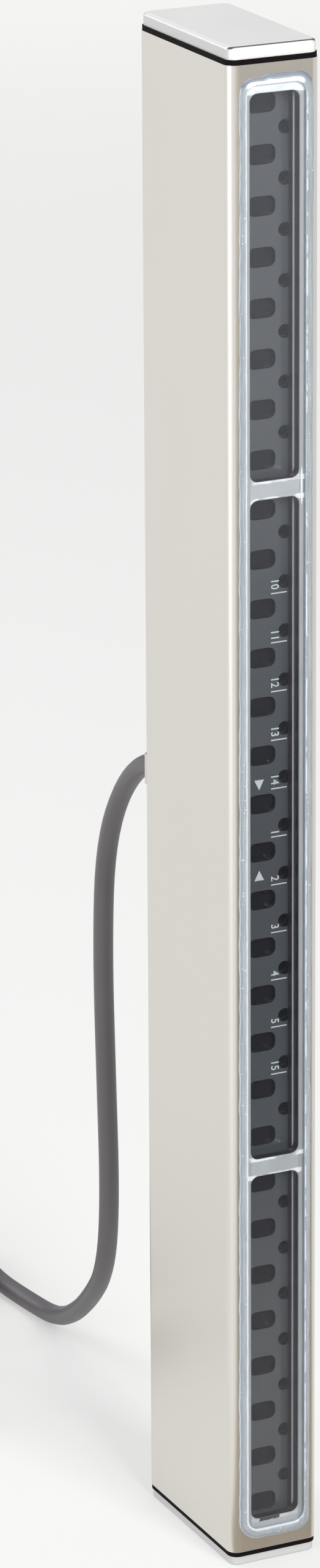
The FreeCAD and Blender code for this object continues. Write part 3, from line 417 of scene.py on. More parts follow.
@dataclass(frozen=True)
class Moulded(Finish):
    """A moulded plastic or rubber: faint mottle, a fine spark-eroded texture, and its gloss."""

    tone: Colour
    roughness: float = 0.5
    texture: float = 0.25 * MM
    depth: float = 0.008 * MM
    mottle: float = 0.12
    coat: float = 0.0
    mirror: float = 0.5
    shaded_wall_share: float = 1.0

    def sockets(self, shader: Shader) -> dict:
        """The surface's sockets. Walls not facing front or back keep a share of tone and coat, as
        painted shade.
        """
        fine = shader.noise(self.texture, 3.0)
        broad = shader.noise(9 * MM, 4.0)
        tone = shader.mottle(broad, self.tone, self.mottle)
        coat = self.coat
        # painted shade: walls not facing front or back are darkened and lose coat
        if self.shaded_wall_share < 1:
            face = abs(shader.axes("Normal")[1]).rise(0.4, 0.7)
            tone = shader.mix(face, tint(self.tone, self.shaded_wall_share), tone)
            coat = (face * (1 - self.shaded_wall_share) + self.shaded_wall_share) * coat
        return {
            "Base Color": tone,
            "Roughness": (fine - 0.5) * 0.15 + (broad - 0.5) * 0.12 + self.roughness,
            "Normal": shader.bump(fine, self.depth, 0.6),
            "Specular IOR Level": self.mirror,
            "Coat Weight": coat,
            "Coat Roughness": 0.08,
        }


@dataclass(frozen=True)
class ClearSheet(Finish):
    """A clear sheet: it mirrors by its angle, and a thin haze lies on it, with a painted reflection
    added near its ends.
    """

    ior: float = 1.5
    clear_tone: Colour = (0.965, 0.975, 0.98)
    tone: Colour = (0.69, 0.73, 0.85)
    roughness: float = 0.03
    haze_and_reflection: float = 0.004
    top_reflection: float = 0.022
    foot_reflection: float = 0.007
    middle: float = 140.0 * MM
    top: float = 290.0 * MM
    foot: float = 20.0 * MM

    def make(self) -> Material:
        """Makes the material: transparent, under a mirror weighed by Fresnel and a dull haze, which
        near the ends carries a painted reflection.

        The mirror and the haze are one surface. Its weight is the sum of both, and it is
        metallic by the mirror's share of that sum.
        """
        shader = Shader(self.name)
        z = shader.axes()[2]
        facing = shader.axes("Normal")[1]
        mirror = Field(shader, shader.node("ShaderNodeFresnel", None, {"IOR": self.ior}).outputs[0])
        mirror = mirror * (abs(facing).rise(0.3, 0.7) * 0.9 + 0.1)
        smear = shader.noise(9 * MM, 1.0, (1.0, 1.0, 6.0))
        # painted reflection: the haze grows towards the top and the foot
        haze_and_reflection = z.rise(self.middle, self.top) * self.top_reflection
        haze_and_reflection = haze_and_reflection + z.rise(self.middle, self.foot) * self.foot_reflection + self.haze_and_reflection
        haze_and_reflection = haze_and_reflection * (smear * 0.4 + 0.8)
        share = mirror + haze_and_reflection
        clear = shader.node("ShaderNodeBsdfTransparent", None, {"Color": self.clear_tone})
        sockets = {"Base Color": self.tone, "Metallic": mirror / share, "Roughness": self.roughness}
        return shader.finish(shader.blend(share, clear, shader.principled(sockets)))


@dataclass(frozen=True)
class Sealant(Finish):
    """Translucent silicone: bluish and darker towards its rim as painted shade, with a painted
    highlight beside the pane and on its outer rim, a painted glow, and small bubbles.
    """

    tone: Colour = (0.315, 0.35, 0.375)
    rim_shade_tone: Colour = (0.20, 0.235, 0.295)
    white_and_highlight_tone: Colour = (0.80, 0.83, 0.85)
    top_start: float = 305.4 * MM
    painted_glow: float = 0.12

    def sockets(self, shader: Shader) -> dict:
        """The surface's sockets. Its UV map is the way along the bead in metres, and across it."""
        across = shader.axes("UV")[1]
        x, _, z = shader.axes()
        cloud = shader.noise(5 * MM, 4.0, (1.0, 1.0, 2.0))
        streaks = shader.noise(0.6 * MM, 4.0, (14.0, 330.0, 1.0), "UV")
        body = shader.mottle(cloud * 0.4 + streaks * 0.6, self.tone, 0.5)
        below_top = z.rise(self.top_start + 0.6 * MM, self.top_start)
        # painted shade: the bead darkens towards its outer rim
        body = shader.mix(across.rise(0.5, 0.8) * (0.95 - below_top * 0.4), body, self.rim_shade_tone)
        ragged = (shader.noise(1.6 * MM, 4.0) - 0.5) * 0.35
        right = x.rise(2 * MM, 5 * MM)
        broken = 1 - right * shader.noise(2.6 * MM, 2.0, (1.0, 1.0, 1.6)).rise(0.52, 0.46)
        # painted highlight: the white run along the pane's edge
        run = (across + ragged * 0.4 + right * 0.08).rise(0.32, 0.06)
        run = run * broken * below_top * (right * 0.25 + 0.65)
        # painted light: the inner wall under the pane's edge is kept light though it is in shade
        wall = across.rise(0.03, 0.01) * 0.75
        # painted highlight: a thin light line on the bead's outer rim
        rim = (across + ragged * 0.1).rise(0.84, 0.92) * below_top * (streaks * 0.8 + 0.15)
        bubbles = shader.cells(0.9 * MM).rise(0.2, 0.08) * across.rise(0.85, 0.7)
        bubbles = bubbles * shader.noise(8 * MM).rise(0.44, 0.56) * 0.75
        # the crown is white silicone along the top, brightened by a painted glow
        crown = (across + ragged * 0.6).rise(0.52, 0.4) * x.rise(6.2 * MM, 5.6 * MM)
        crown = crown * z.rise(self.top_start, self.top_start + 0.5 * MM)
        white = run.greater(crown).greater(bubbles).greater(rim).greater(wall)
        return {
            "Base Color": shader.mix(white, body, self.white_and_highlight_tone),
            "Roughness": (streaks - 0.5) * 0.2 + 0.28,
            "Normal": shader.bump(cloud + bubbles * 0.4, 0.12 * MM, 0.5),
            "Coat Weight": 0.3,
            "Coat Roughness": 0.1,
            # painted glow: the crown and the inner wall give off light though they are no lamp
            "Emission Color": shader.mix(crown.greater(wall), BLACK, self.white_and_highlight_tone),
            "Emission Strength": self.painted_glow,
        }


@dataclass(frozen=True)
class Laminate(Finish):
    """Circuit board: solder mask over copper runs, with bare pads."""

    mask: Colour = (0.012, 0.10, 0.045)
    copper: Colour = (0.03, 0.21, 0.085)
    pad: Colour = (0.62, 0.6, 0.52)

    def sockets(self, shader: Shader) -> dict:
        """The surface's sockets: runs follow the edges of long noise patches, pads dot them."""
        runs = abs(shader.noise(2.6 * MM, 0.0, (1.0, 1.0, 3.0)) - 0.5).rise(0.03, 0.015)
        pads = shader.cells(3.1 * MM).rise(0.16, 0.13)
        tone = shader.mix(runs, self.mask, self.copper)
        return {
            "Base Color": shader.mix(pads, tone, self.pad),
            "Metallic": pads * 0.9,
            "Roughness": 0.34 - pads * 0.08,
            "Normal": shader.bump(runs.greater(pads), 0.03 * MM, 0.7),
        }


PLATE_GRAIN = (0.42, 0.4, Axis.X, 0.1 * MM, 0.03)
FINISHES = {
    "housing": BondedSteel("stainless_satin", (0.74, 0.715, 0.665)),
    # the bottom plate's tone is darker than the top plate's as painted shade, which offsets the
    # floor's bounce light
    "top_plate": PlateSteel("stainless_top_satin", (0.88, 0.88, 0.865), *PLATE_GRAIN),
    "bottom_plate": SatinSteel("stainless_bottom_satin", (0.60, 0.60, 0.597), *PLATE_GRAIN),
    "screw": SatinSteel("bright_steel", (0.7, 0.7, 0.69), 0.26, 1.0, Axis.X),
    "gasket": Moulded("gasket_rubber", (0.006, 0.004, 0.005), 0.7, 0.2 * MM, 0.02 * MM,
                      mirror=0.08),
    "pane": ClearSheet("clear_pane"),
    "sealant": Sealant("silicone_bead"),
    "carrier": CarrierMetal("anodised_carrier", (0.07, 0.065, 0.07), 0.4, 0.3, Axis.Z),
    "block": Moulded("block_plastic", (0.045, 0.045, 0.05), 0.55),
    "plate": Moulded("aperture_plate_gloss", (0.083, 0.091, 0.101), 0.2, 0.5 * MM, 0.002 * MM,
                     0.06, coat=1.0, mirror=1.0, shaded_wall_share=0.2),
    "holder": Moulded("black_moulding", (0.02, 0.02, 0.022), 0.6),
    "lens": Moulded("smoked_lens", (0.009, 0.008, 0.013), 0.3, 0.5 * MM, 0.001 * MM, 0.08,
                    mirror=0.2),
    "board": Laminate("circuit_board"),
    "chip": Moulded("chip_epoxy", (0.02, 0.02, 0.021), 0.5, 0.12 * MM, 0.01 * MM),
    "clear_chip": Moulded("clear_epoxy", (0.62, 0.58, 0.46), 0.18, 0.3 * MM, 0.002 * MM),
    "guide": Moulded("light_guide", (0.30, 0.30, 0.31), 0.15, 0.3 * MM, 0.002 * MM),
    "socket": Moulded("cream_nylon", (0.66, 0.61, 0.50), 0.45),
    "insulation": Moulded("lead_insulation", (0.20, 0.17, 0.16), 0.4),
    "gland": SatinSteel("nickel_plate", (0.66, 0.64, 0.60), 0.24, 1.0, Axis.Y),
    "jacket": Moulded("cable_jacket", (0.124, 0.116, 0.121), 0.46, 0.3 * MM, 0.012 * MM, 0.1),
    "seal": Moulded("seal_rubber", (0.02, 0.02, 0.021), 0.55),
    "grip": Moulded("plug_moulding", (0.022, 0.022, 0.025), 0.52, 0.35 * MM, 0.02 * MM),
    "pins": SatinSteel("gold_plate", (0.88, 0.64, 0.26), 0.2, 1.0, Axis.Y),
    "print": Moulded("printed_marks", (0.72, 0.76, 0.76), 0.5, 0.1 * MM, 0.002 * MM),
}


class Wardrobe:
    """Makes each finish once, when it is first asked for."""

    def __init__(self) -> None:
        """Starts with no finish made."""
        self.made: dict[str, Material] = {}

    def get(self, finish: str) -> Material:
        """The material of a finish."""
        if finish not in self.made:
            self.made[finish] = FINISHES[finish].make()
        return self.made[finish]

    def dress(self, finish: str, nodes: list[str]) -> None:
        """Puts a finish on solids of the frame.

        Args:
            finish: the finish's name.
            nodes: the solids' names.
        """
        for name in nodes:
            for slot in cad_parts[name].material_slots:
                slot.material = self.get(finish)
        log.info("%s: %s", finish, ", ".join(nodes))


# Meshes ------------


def place(name: str, data: ID) -> Object:
    """Makes an object of its data and puts it into the scene."""
    made = bpy.data.objects.new(name, data)
    bpy.context.scene.collection.objects.link(made)
    return made


def ring_faces(rows: int, columns: int) -> np.ndarray:
    """Faces of a grid that closes on itself both ways.

    The face at row i and column j joins the points (i, j), (i, j + 1), (i + 1, j + 1) and
    (i + 1, j), where the row or column after the last is the first.

    Args:
        rows: how many rows of points there are.
        columns: how many points a row has.

    Returns:
        An array of four point numbers a face.
    """
    i, j = np.meshgrid(np.arange(rows), np.arange(columns), indexing="ij")
    here, after = i * columns, (i + 1) % rows * columns
    right = (j + 1) % columns
    return np.stack([here + j, here + right, after + right, after + j], axis=-1).reshape(-1, 4)


def new_mesh(name: str, points: Sequence, faces: Sequence, material: Material) -> Object:
    """Makes a mesh object with one material."""
    mesh = bpy.data.meshes.new(name)
    mesh.from_pydata(np.asarray(points, dtype=float).tolist(), [], [tuple(f) for f in faces])
    mesh.materials.append(material)
    return place(name, mesh)


def ease(values: np.ndarray, start: float = 0.0, end: float = 1.0) -> np.ndarray:
    """Smooth step: 3 t squared minus 2 t cubed, with t from 0 at start to 1 at end, and held."""
    t = np.clip((values - start) / (end - start), 0.0, 1.0)
    return t * t * (3 - 2 * t)


def ripple(s: np.ndarray, waves: tuple, seed: int) -> np.ndarray:
    """A seeded wandering line: the mean of cosines of the given wavelengths at chosen phases."""
    phases = np.random.default_rng(seed).uniform(0, 2 * np.pi, len(waves))
    return sum(np.cos(2 * np.pi * s / w + p) for w, p in zip(waves, phases)) / len(waves)


# Sub-assemblies ------------


@dataclass
class Assembly:
    """A sub-assembly. Its solids stand under the finish that they wear."""

    wardrobe: Wardrobe
    solids: ClassVar[dict[str, str]] = {}

    def build(self) -> None:
        """Dresses the solids and makes its own pieces."""
        for finish, names in self.solids.items():
            self.wardrobe.dress(finish, names.split())
        self.pieces()

    def pieces(self) -> None:
        """Makes its own pieces, where it has any."""

    def add(self, name: str, points: Sequence, faces: Sequence, finish: str, body: str,
            slot: str, smooth: bool = True) -> Object:
        """Adds a mesh piece that rides on a body.

        Args:
            name: the piece's name.
            points: its points, in metres.
            faces: the point numbers of its faces.
            finish: its finish.
            body: the body that it rides on.
            slot: the record's slot that it would take its finish from; not used.
            smooth: whether it is shaded smooth.

        Returns:
            The piece's object.
        """
        piece = new_mesh(name, points, faces, self.wardrobe.get(finish))
        piece.data.polygons.foreach_set("use_smooth", np.full(len(faces), smooth))
        piece.data.update()
        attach(piece, body)
        log.info("%s: %d faces on %s", name, len(faces), body)
        return piece


@dataclass
class Housing(Assembly):
    """The steel tube, its end plates, their gaskets and screws."""

    solids = {
        "housing": "housing",
        "top_plate": "top_end_plate",
        "bottom_plate": "bottom_end_plate",
        "gasket": "top_gasket bottom_gasket",
        "screw": "bottom_plate_screws bottom_block_screws top_block_screws",
        "block": "bottom_end_block top_end_block",
    }


@dataclass
class Window(Assembly):
    """The clear pane and the silicone bead that is run round it by hand."""

    solids = {"pane": "front_pane"}
    pane: Sides = (-6.33 * MM, 6.33 * MM, 7.87 * MM, 306.13 * MM)
    pane_corner: float = 2.4 * MM
    edge: Sides = (-7.85 * MM, 8.05 * MM, 5.4 * MM, 307.4 * MM)
    step_height: float = 0.5 * MM
    step_x: tuple[float, float] = (-3.0 * MM, -1.2 * MM)
    step_z: tuple[float, float] = (300 * MM, 305 * MM)
    widest: tuple[float, float] = (-8.25 * MM, 8.35 * MM)
    lean: float = 0.28 * MM
    wander: float = 0.17 * MM
    uneven: float = 0.05 * MM
    sunk: float = 0.03 * MM
    corners: tuple[float, ...] = (4.6 * MM, 3.4 * MM, 3.9 * MM, 2.8 * MM)
    height: float = 0.88 * MM
    steel_front: float = -19.2 * MM
    steel_flat: float = 7.6 * MM
    steel_corner: float = 2.2 * MM
    side_points: int = 560
    arc_points: int = 14
    end_points: int = 40
    across_points: int = 12

    def outline(self, sides: Sides, corners: tuple[float, ...]) -> np.ndarray:
        """A rounded rectangle, from the lower left corner up and clockwise seen from the front.

        Each side is a straight run between two corner arcs, and a corner's arc turns a quarter
        of a circle about a centre one radius in from both its sides.

        Args:
            sides: X of its left and right side, and Z of its bottom and top.
            corners: the radii of the lower left, upper left, upper right and lower right corners.

        Returns:
            An array of X and Z.
        """
        left, right, bottom, top = sides
        low_left, up_left, up_right, low_right = corners
        arcs = []
        for x, z, radius, start in (
            (left + low_left, bottom + low_left, low_left, 270),
            (left + up_left, top - up_left, up_left, 180),
            (right - up_right, top - up_right, up_right, 90),
            (right - low_right, bottom + low_right, low_right, 0),
        ):
            turn = np.radians(start - 90 * np.linspace(0, 1, self.arc_points + 1))
            arcs.append(np.stack([x + radius * np.cos(turn), z + radius * np.sin(turn)], axis=-1))
        points = []
        for number, count in enumerate((self.side_points, self.end_points) * 2):
            before, after = arcs[number], arcs[(number + 1) % len(arcs)]
            t = np.linspace(0, 1, count, endpoint=False)[:, None]
            points += [before[-1] * (1 - t) + after[0] * t, after[:-1]]
        return np.concatenate(points)

    def steel(self, x: np.ndarray) -> np.ndarray:
        """Y of the housing's front at X: flat, and on the long edges a circle's quarter."""
        past = np.clip(np.abs(x) - self.steel_flat, 0, self.steel_corner)
        return self.steel_front + self.steel_corner - np.sqrt(self.steel_corner**2 - past**2)

    def pieces(self) -> None:
        """Makes the bead: a section carried round the pane.

        The section starts on the steel at the pane's edge, climbs to the pane's front, and falls
        outwards as height times (1 - v squared) to the power 0.7, for v from 0 at the pane to 1
        at the bead's outer edge. The outer edge and the height wander slowly along the way.
        """
        pane = self.outline(self.pane, (self.pane_corner,) * 4)
        outer = self.outline(self.edge, self.corners)
        way = np.concatenate([[0], np.cumsum(np.linalg.norm(np.diff(outer, axis=0), axis=1))])
        outer[:, 0] += self.lean * (2 * outer[:, 1] / sum(self.edge[2:]) - 1)
        stepped = ease(outer[:, 1], *self.step_z) * ease(outer[:, 0], *self.step_x)
        outer[:, 1] += self.step_height * stepped
        out = outer - pane
        out /= np.linalg.norm(out, axis=1)[:, None]
        outer += out * ripple(way / MM, (4.3, 7.1, 11.0, 19.0, 33.0), 3)[:, None] * self.wander
        outer[:, 0] = np.clip(outer[:, 0], *self.widest)
        height = self.height + ripple(way / MM, (3.1, 5.7, 9.3, 14.0), 5) * self.uneven
        v = np.linspace(0, 1, self.across_points)
        across = pane[:, None] * (1 - v[:, None]) + outer[:, None] * v[:, None]
        sag = ripple(way / MM, (2.3, 3.7, 6.1), 8)[:, None] * 0.05 * np.sin(np.pi * v)
        rise = (height[:, None] * (1 - v**2) ** 0.7) * (1 + sag)
        y = self.steel(across[:, :, 0]) + self.sunk - rise
        top = np.stack([across[:, :, 0], y, across[:, :, 1]], axis=-1)
        foot = top[:, :1].copy()
        foot[:, :, 1] = self.steel(foot[:, :, 0]) + self.sunk
        points = np.concatenate([foot, top], axis=1)
        piece = self.add("bead", points.reshape(-1, 3), ring_faces(*points.shape[:2]),
                         "sealant", CURTAIN, "silicone_bead")
        self.map_bead(piece.data, way, np.concatenate([[0.0], v]))
        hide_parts("pane_seal")

    def map_bead(self, mesh: Mesh, way: np.ndarray, v: np.ndarray) -> None:
        """Gives the bead its UV map.

        Args:
            mesh: the bead's mesh.
            way: the way along the bead at each row, in metres.
            v: the place across the bead at each column, from 0 to 1.
        """
        corner = np.zeros(len(mesh.loops), dtype=int)
        mesh.loops.foreach_get("vertex_index", corner)
        uv = np.stack([way[corner // len(v)], v[corner % len(v)]], axis=-1)
        mesh.uv_layers.new(name="run").data.foreach_set("uv", uv.ravel())


@dataclass
class Optics(Assembly):
    """The carrier, the aperture plate with its printed marks, the lenses and what lies behind."""

    solids = {
        "carrier": "carrier_profile",
        "plate": "aperture_plate",
        "holder": "optics_holder",
        "lens": "upper_lens_strip middle_lens_strip lower_lens_strip",
        "guide": "status_light_guides",
    }
    print_front: float = -15.2 * MM
    print_thick: float = 0.02 * MM
    first_lamp: float = 204.3 * MM
    lamp_spacing: float = 10.0 * MM
    labels: str = "10 11 12 13 14 1 2 3 4 5 15"
    digit_height: float = 1.75 * MM
    digit_left: float = 1.15 * MM
    digit_gap: float = 0.8 * MM
    digit_swell: float = 0.012
    digit_width: float = 0.92
    tick_left: float = 1.15 * MM
    tick_right: float = 4.6 * MM
    tick_thick: float = 0.26 * MM
    arrow_x: float = -1.45 * MM
    arrow_width: float = 2.1 * MM
    arrows: tuple = ((165.5 * MM, -1.0), (146.7 * MM, 1.0))

    def digits(self, text: str) -> tuple[np.ndarray, list]:
        """The flat shapes of a number, turned to read downwards.

        Along the text is -Z, its letters' tops point to +X, and it faces -Y. The text's end is
        at Z 0 and its foot at X 0.

        Args:
            text: the number.

        Returns:
            The points and the faces.
        """
        curve = bpy.data.curves.new("digits", "FONT")
        curve.body = text
        curve.resolution_u = 3
        curve.offset = self.digit_swell
        holder = place("digits", curve)
        shape = holder.evaluated_get(bpy.context.evaluated_depsgraph_get())
        mesh = bpy.data.meshes.new_from_object(shape)
        flat = np.zeros(len(mesh.vertices) * 3)
        mesh.vertices.foreach_get("co", flat)
        flat = flat.reshape(-1, 3)
        flat[:, :2] -= flat[:, :2].min(axis=0)
        flat[:, :2] *= self.digit_height / flat[:, 1].max()
        flat[:, 0] *= self.digit_width
        faces = [tuple(p.vertices) for p in mesh.polygons]
        bpy.data.objects.remove(holder)
        bpy.data.curves.remove(curve)
        bpy.data.meshes.remove(mesh)
        points = np.stack([flat[:, 1], 0 * flat[:, 0], flat[:, 0].max() - flat[:, 0]], axis=-1)
        return points, faces

    def pieces(self) -> None:
        """Prints the marks: a number and a tick at each status lamp, and two arrowheads."""
        points, faces = [], []

        def mark(shape: np.ndarray, sides: list) -> None:
            """Adds one flat shape to the marks."""
            faces.extend(tuple(i + len(points) for i in side) for side in sides)
            points.extend(shape)

        for number, text in enumerate(self.labels.split()):
            level = self.first_lamp - number * self.lamp_spacing
            shape, sides = self.digits(text)
            mark(shape + [self.digit_left, 0, level + self.digit_gap], sides)
            low, high = level - self.tick_thick / 2, level + self.tick_thick / 2
            tick = [(self.tick_left, 0, low), (self.tick_right, 0, low),
                    (self.tick_right, 0, high), (self.tick_left, 0, high)]
            mark(np.array(tick), [(0, 1, 2, 3)])
        half = self.arrow_width / 2
        for level, way in self.arrows:
            arrow = [(-half, 0, -way * half), (half, 0, -way * half), (0, 0, way * half)]
            mark(np.array(arrow) + [self.arrow_x, 0, level], [(0, 1, 2) if way > 0 else (0, 2, 1)])
        shapes = np.array(points) + [0, self.print_front - self.print_thick, 0]
        self.add("printed_marks", shapes, faces, "print", CURTAIN, "pale_plastic", False)


@dataclass
class Electronics(Assembly):
    """The two boards and what is soldered to them."""

    solids = {
        "board": "optics_board main_board",
        "chip": "processor_chip power_module board_link",
        "clear_chip": "photodiodes emitter_leds status_leds",
        "socket": "cable_socket cable_plug",
        "insulation": "inner_leads",
    }


@dataclass
class CableEntry(Assembly):
    """The gland in the rear wall."""

    solids = {"gland": "gland_body gland_nut gland_locknut", "seal": "gland_seal gland_o_ring"}


@dataclass
class Cable(Assembly):
    """The cable: down behind the housing, out along the floor, and put away in a neat coil.

    The lead, the tail, the coil's radius and its level are in millimetres. Each change of the
    radius or the level is (start, end, amount), with start and end in turns.
    """

    diameter: float = 4.2 * MM
    exit: Point = (0.0, 30.5 * MM, 156.5 * MM)
    coil_x: float = -16.9 * MM
    coil_y: float = 150.0 * MM
    points_a_turn: int = 16
    turns: float = 4.5
    first_radius: float = 25.2
    radius_changes: tuple = (
        (0.8, 0.95, -4.2), (1.8, 1.95, -4.2), (2.8, 2.95, 2.1), (3.5, 3.65, 4.2))
    first_level: float = 2.1
    level_changes: tuple = (
        (2.62, 2.8, 4.3), (2.9, 3.0, -0.66), (3.4, 3.5, 0.66), (3.95, 4.05, -0.66))
    lead: tuple[Point, ...] = (
        (0.0, 18.2, 156.5), (0.0, 35.0, 156.5), (0.0, 49.5, 147.0), (0.0, 59.5, 130.0),
        (0.0, 61.4, 106.0), (0.0, 60.1, 77.0), (0.3, 59.4, 50.0), (2.0, 65.5, 31.0),
        (4.8, 80.0, 18.0), (7.3, 95.0, 8.0), (8.6, 107.0, 2.9), (7.9, 118.5, 2.1),
        (6.6, 130.0, 2.1), (6.9, 139.5, 2.1),
    )
    tail: tuple[Point, ...] = ((-40.0, 139.5, 6.4), (-36.8, 129.5, 7.4), (-36.8, 119.0, 7.4))

    def coil(self) -> np.ndarray:
        """The coil's turns: three side by side on the floor, and two in the grooves on top.

        Along the way t, counted in turns, the radius eases from one ring to the next over a
        short stretch and holds, and so does the height. A point is the coil's middle plus the
        radius times (cos, sin) of 2 pi t.

        Returns:
            The spline's points, in metres.
        """
        t = np.linspace(0, self.turns, round(self.turns * self.points_a_turn) + 1)
        radius = self.first_radius + sum(c * ease(t, a, b) for a, b, c in self.radius_changes)
        level = self.first_level + sum(c * ease(t, a, b) for a, b, c in self.level_changes)
        reach = radius * MM / math.cos(math.pi / self.points_a_turn)
        x = self.coil_x + reach * np.cos(2 * np.pi * t)
        y = self.coil_y + reach * np.sin(2 * np.pi * t)
        return np.stack([x, y, level * MM], axis=-1)

    def pieces(self) -> None:
        way = np.concatenate([np.array(self.lead) * MM, self.coil(), np.array(self.tail) * MM])
        curve = bpy.data.curves.new("cable", "CURVE")
        curve.dimensions = "3D"
        curve.bevel_depth = self.diameter / 2
        curve.bevel_resolution = 5
        curve.resolution_u = 6
        curve.use_fill_caps = True
        spline = curve.splines.new("NURBS")
        spline.points.add(len(way) - 1)
        spline.points.foreach_set("co", np.column_stack([way, np.ones(len(way))]).ravel())
        spline.order_u = 3
        spline.use_endpoint_u = True
        curve.materials.append(self.wardrobe.get("jacket"))
        piece = place("cable", curve)
        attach(piece, CURTAIN)
        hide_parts("cable_lead", "cable_coil", "cable_tail")
        log.info("cable: %d points", len(way))


@dataclass
class Plug(Assembly):
    """The plug on the cable's end, with its knurled and threaded coupling screw."""

    solids = {"grip": "connector_body", "block": "pin_insert", "pins": "contact_pins"}
    axis_x: float = -36.8 * MM
    axis_z: float = 7.4 * MM
    start_y: float = 92.8 * MM
    knurl_end_y: float = 84.2 * MM
    end_y: float = 75.2 * MM
    step_y: float = 83.1 * MM
    bore: float = 4.1 * MM
    sleeve: float = 4.8 * MM
    knurl: float = 7.4 * MM
    knurls: int = 18
    knurl_depth: float = 0.5 * MM
    knurl_half_width: float = 0.8 * MM
    chamfer: float = 0.5 * MM
    thread: float = 6.0 * MM
    thread_depth: float = 0.5 * MM
    pitch: float = 1.0 * MM
    relief: float = 1.0 * MM
    end_taper: float = 0.45 * MM
    taper_length: float = 0.6 * MM
    fade_length: float = 0.9 * MM
    fade_least: float = 0.15
    shoulder: float = 0.1 * MM
    groove_step: float = 0.02 * MM
    lead_in: float = 0.15 * MM
    band_rows: int = 15
    thread_rows: int = 90
    columns: int = 144
    sharp_from: float = math.radians(38)

    def pieces(self) -> None:
        """Makes the coupling screw: a profile turned round the plug's axis.

        In the knurled band the radius drops by the groove's depth times 1 - (distance from the
        nearest groove's middle over its half width), held at 0 or more. On the thread it drops
        by the thread's depth times a wave of (way along the axis over the pitch, less the angle
        over a full turn), which is one helix. A row is (Y, radius, knurl's share, thread's share).
        """
        turn = np.linspace(0, 2 * np.pi, self.columns, endpoint=False)
        step = 2 * np.pi / self.knurls
        off_groove = np.abs((turn + step / 2) % step - step / 2) * self.knurl
        groove = self.knurl_depth * ease(1 - off_groove / self.knurl_half_width)

        def plain(*places: tuple[float, float]) -> list:
            """Rows with neither knurl nor thread."""
            return [(y, radius, 0.0, 0.0) for y, radius in places]

        start, middle, end = self.start_y, self.knurl_end_y, self.end_y
        width, length = start - middle, middle - self.relief - end
        rows = plain((start, self.bore), (start, self.bore + self.lead_in),
                     (start, self.knurl - self.chamfer))
        for part in np.linspace(0, 1, self.band_rows):
            rim = min(1.0, min(part, 1 - part) * width / self.chamfer)
            radius = self.knurl - self.chamfer * (1 - math.sqrt(1 - (1 - rim) ** 2))
            rows.append((start - width * part, radius, rim, 0.0))
        rows += plain((middle, self.thread + self.shoulder),
                      (middle - self.groove_step, self.thread - self.thread_depth))
        for part in np.linspace(0, 1, self.thread_rows):
            left = (1 - part) * length
            crest = self.thread - self.end_taper * max(0.0, 1 - left / self.taper_length)
            fade = min(1.0, left / self.fade_length + self.fade_least)
            rows.append((end + left, crest, 0.0, fade))
        rows += plain((end, self.sleeve + self.lead_in), (end + self.lead_in, self.sleeve),
                      (self.step_y, self.sleeve), (self.step_y, self.bore))
        y, radius, knurled, threaded = np.array(rows).T[:, :, None]
        phase = ((middle - y) / self.pitch - turn / (2 * np.pi)) % 1.0
        valley = self.thread_depth * ease(np.abs(2 * phase - 1) * 1.25 - 0.12)
        reach = radius - knurled * groove - threaded * valley
        x, z = self.axis_x + reach * np.cos(turn), self.axis_z + reach * np.sin(turn)
        points = np.stack([x, np.broadcast_to(y, reach.shape), z], axis=-1)
        faces = ring_faces(len(y), self.columns)
        piece = self.add("coupling_screw_ring", points.reshape(-1, 3), faces, "gland",
                         PLUG_SCREW, "gland_metal")
        piece.data.set_sharp_from_angle(angle=self.sharp_from)
        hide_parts("coupling_screw")


@dataclass
class Lamp:
    """A soft rectangular lamp."""

    name: str
    stand: Point
    aim: Point
    size: tuple[float, float]
    watts: float
    colour: Colour = (1.0, 1.0, 1.0)

    def build(self) -> None:
        """Makes the lamp, facing its aim."""
        light = bpy.data.lights.new(self.name, "AREA")
        light.shape = "RECTANGLE"
        light.size, light.size_y = self.size
        light.energy = self.watts
        light.color = self.colour
        towards = Vector(self.aim) - Vector(self.stand)
        turn = towards.to_track_quat("-Z", "Y").to_matrix().to_4x4()
        place(self.name, light).matrix_world = Matrix.Translation(self.stand) @ turn


